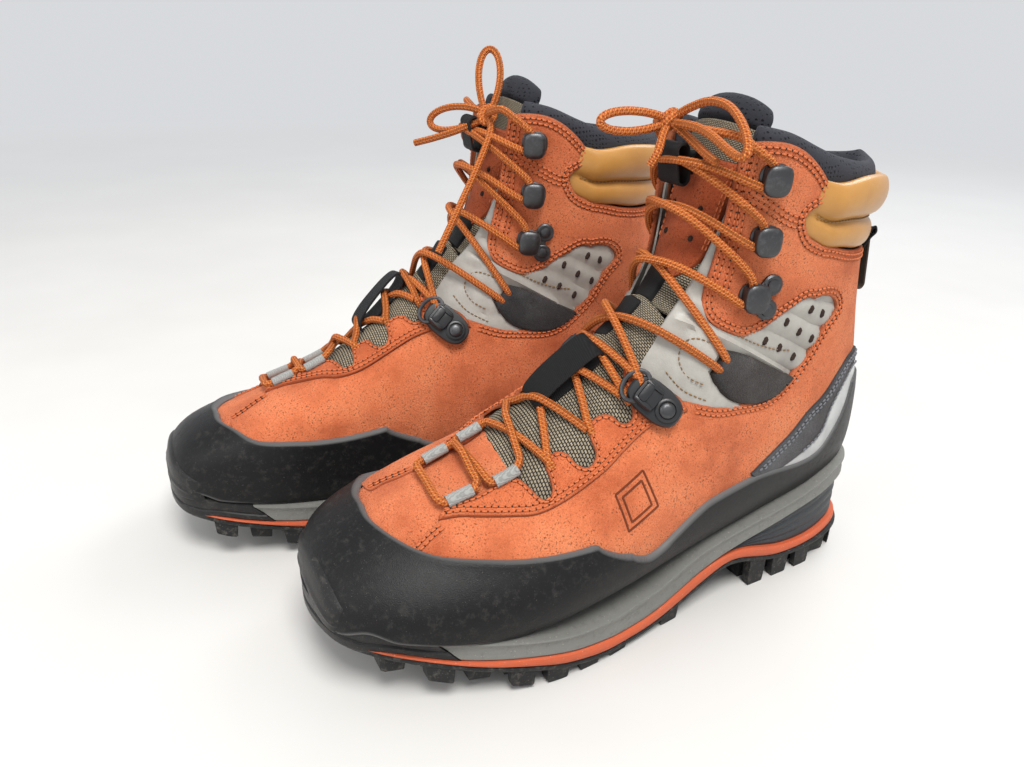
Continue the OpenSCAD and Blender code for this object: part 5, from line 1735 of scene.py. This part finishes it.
def footbed():
    """Moulded footbed: a cup at the heel, an arch and a thin forefoot."""
    rows = []
    for s in 149 - 137 * np.cos(np.linspace(0, math.pi, 70)):
        a, b = sole_width(s)
        a, b = a - 8.5, b + 8.5
        end = min(1.0, math.sqrt(max(0.0, 1 - ((s - 149) / 137.5) ** 2)) * 3.2)
        middle, half = 0.5 * (a + b), 0.5 * (a - b) * end
        z0 = float(insole(s)) + BOARD_TOP
        cup = 4.5 * np.clip((110 - s) / 60, 0, 1) + 1.0
        instep = 2.0 * math.exp(-((s - 120) / 35) ** 2)
        x = np.linspace(-1, 1, 15)
        top = z0 + 3.6 + cup * np.abs(x) ** 3.5 + instep * np.clip(-x, 0, 1) ** 2
        loop = list(zip(x, top)) + [(xx, z0) for xx in np.linspace(1, -1, 9)[1:-1]]
        rows.append([[middle + half * xx, HALF_LENGTH - s, zz] for xx, zz in loop])
    return solid(rows)


emit("footbed", footbed(), "felt", "footbed", ["footbed"], smooth=60)


LINING_OUT, LINING_IN = -5.6, -7.4


def sock():
    """Lining: closed round the foot, open at the throat round the leg."""
    v = np.arange(0, 360, 6.0)
    t = np.linspace(1.3, 8.2, 40)
    outer = [skin(a, v, LINING_OUT) for a in t]
    inner = [skin(a, v, LINING_IN) for a in t[::-1]]
    rows = []
    for a in np.linspace(8.0, 13.2, 26):
        front = 40 + 10 * min(1, a - 8)
        v = np.linspace(front, 360 - front, 57)
        rows.append(np.concatenate([skin(a, v, LINING_OUT), skin(a, v[::-1], LINING_IN)]))
    return join([solid(outer + inner, True), solid(rows)])


emit("lining", sock(), "lining", "blend", ["lining"])

# CAD pieces that stay visible: their materials
INSIDE = {"lasting_board": "board", "shank": "steel", "toe_puff": "stiffener", "heel_counter": "stiffener"}
for obj in list(bpy.data.objects):
    for word, look in INSIDE.items():
        if obj.type == "MESH" and obj.name.endswith(word) and obj.name.split("_")[0] in SIDES:
            obj.data.materials.clear()
            obj.data.materials.append(M[look])

# ---- Floor, light and camera ----

SKY, SKY_POWER = (0.95, 0.97, 1.0, 1), 0.72


def stage():
    floor = bpy.data.meshes.new("floor")
    floor.from_pydata([(-60, -60, 0), (60, -60, 0), (60, 60, 0), (-60, 60, 0)], [], [(0, 1, 2, 3)])
    floor_object = bpy.data.objects.new("floor", floor)
    bpy.context.scene.collection.objects.link(floor_object)
    n = Nodes("floor_paint")
    place = n.add("ShaderNodeTexCoord").outputs["Object"]
    shade = n.ramp(n.noise(3.0, 4, 0.6, place), [(0.3, (0.6, 0.59, 0.57)), (0.7, (0.66, 0.65, 0.63))])
    away = n.add("ShaderNodeVectorMath", {0: place}, operation="LENGTH").outputs["Value"]
    far = n.ramp(n.math("DIVIDE", away, 4), [(0.11, 0.0), (0.55, 1.0)])
    floor.materials.append(n.done(n.mix(far, shade, (0, 0, 0)), 0.9, Emission_Color=SKY,
                                  Specular_IOR_Level=n.math("MULTIPLY_ADD", far, -0.5, 0.5),
                                  Emission_Strength=n.times(far, SKY_POWER)))
    world = bpy.data.worlds.new("studio")
    bpy.context.scene.world = world
    world.use_nodes = True
    world.node_tree.nodes["Background"].inputs[0].default_value = SKY
    world.node_tree.nodes["Background"].inputs[1].default_value = SKY_POWER
    bpy.context.scene.view_settings.view_transform = "Standard"

    def area(name, place, size, power, color):
        light = bpy.data.lights.new(name, "AREA")
        light.shape, light.size, light.energy, light.color = "DISK", size, power, color
        lamp = bpy.data.objects.new(name, light)
        lamp.location = place
        lamp.rotation_mode = "QUATERNION"
        lamp.rotation_quaternion = (middle - Vector(place)).to_track_quat("-Z", "Y")
        bpy.context.scene.collection.objects.link(lamp)

    middle = Vector((0.0, 0.0, 0.1))
    area("key", (0.9, -0.25, 1.7), 0.8, 34, (1, 0.98, 0.95))
    area("fill", (0.2, -1.6, 0.9), 1.2, 7, (1, 0.99, 0.97))
    area("rim", (-0.5, 1.3, 1.3), 1.0, 12, (0.95, 0.97, 1))


CAMERA_PLACE = (288.1, -212.4, 263.8)  # in the left boot's frame


def camera():
    """Looks at the pair from the outer front of the left boot, slightly rolled."""
    data = bpy.data.cameras.new("camera")
    data.sensor_width, data.lens = 36, 28.9  # mm
    data.clip_start = 0.01
    cam = bpy.data.objects.new("camera", data)
    bpy.context.scene.collection.objects.link(cam)
    azimuth, elevation, roll = math.radians(61.57), math.radians(23.48), math.radians(1.52)
    back = Vector((math.sin(azimuth) * math.cos(elevation), -math.cos(azimuth) * math.cos(elevation),
                   math.sin(elevation)))
    cam.location = Vector(to_row(np.array([CAMERA_PLACE], float), "left")[0])
    cam.rotation_mode = "QUATERNION"
    look = (-back).to_track_quat("-Z", "Y")
    cam.rotation_quaternion = look @ Quaternion((0, 0, 1), roll)
    bpy.context.scene.camera = cam


stage()
camera()
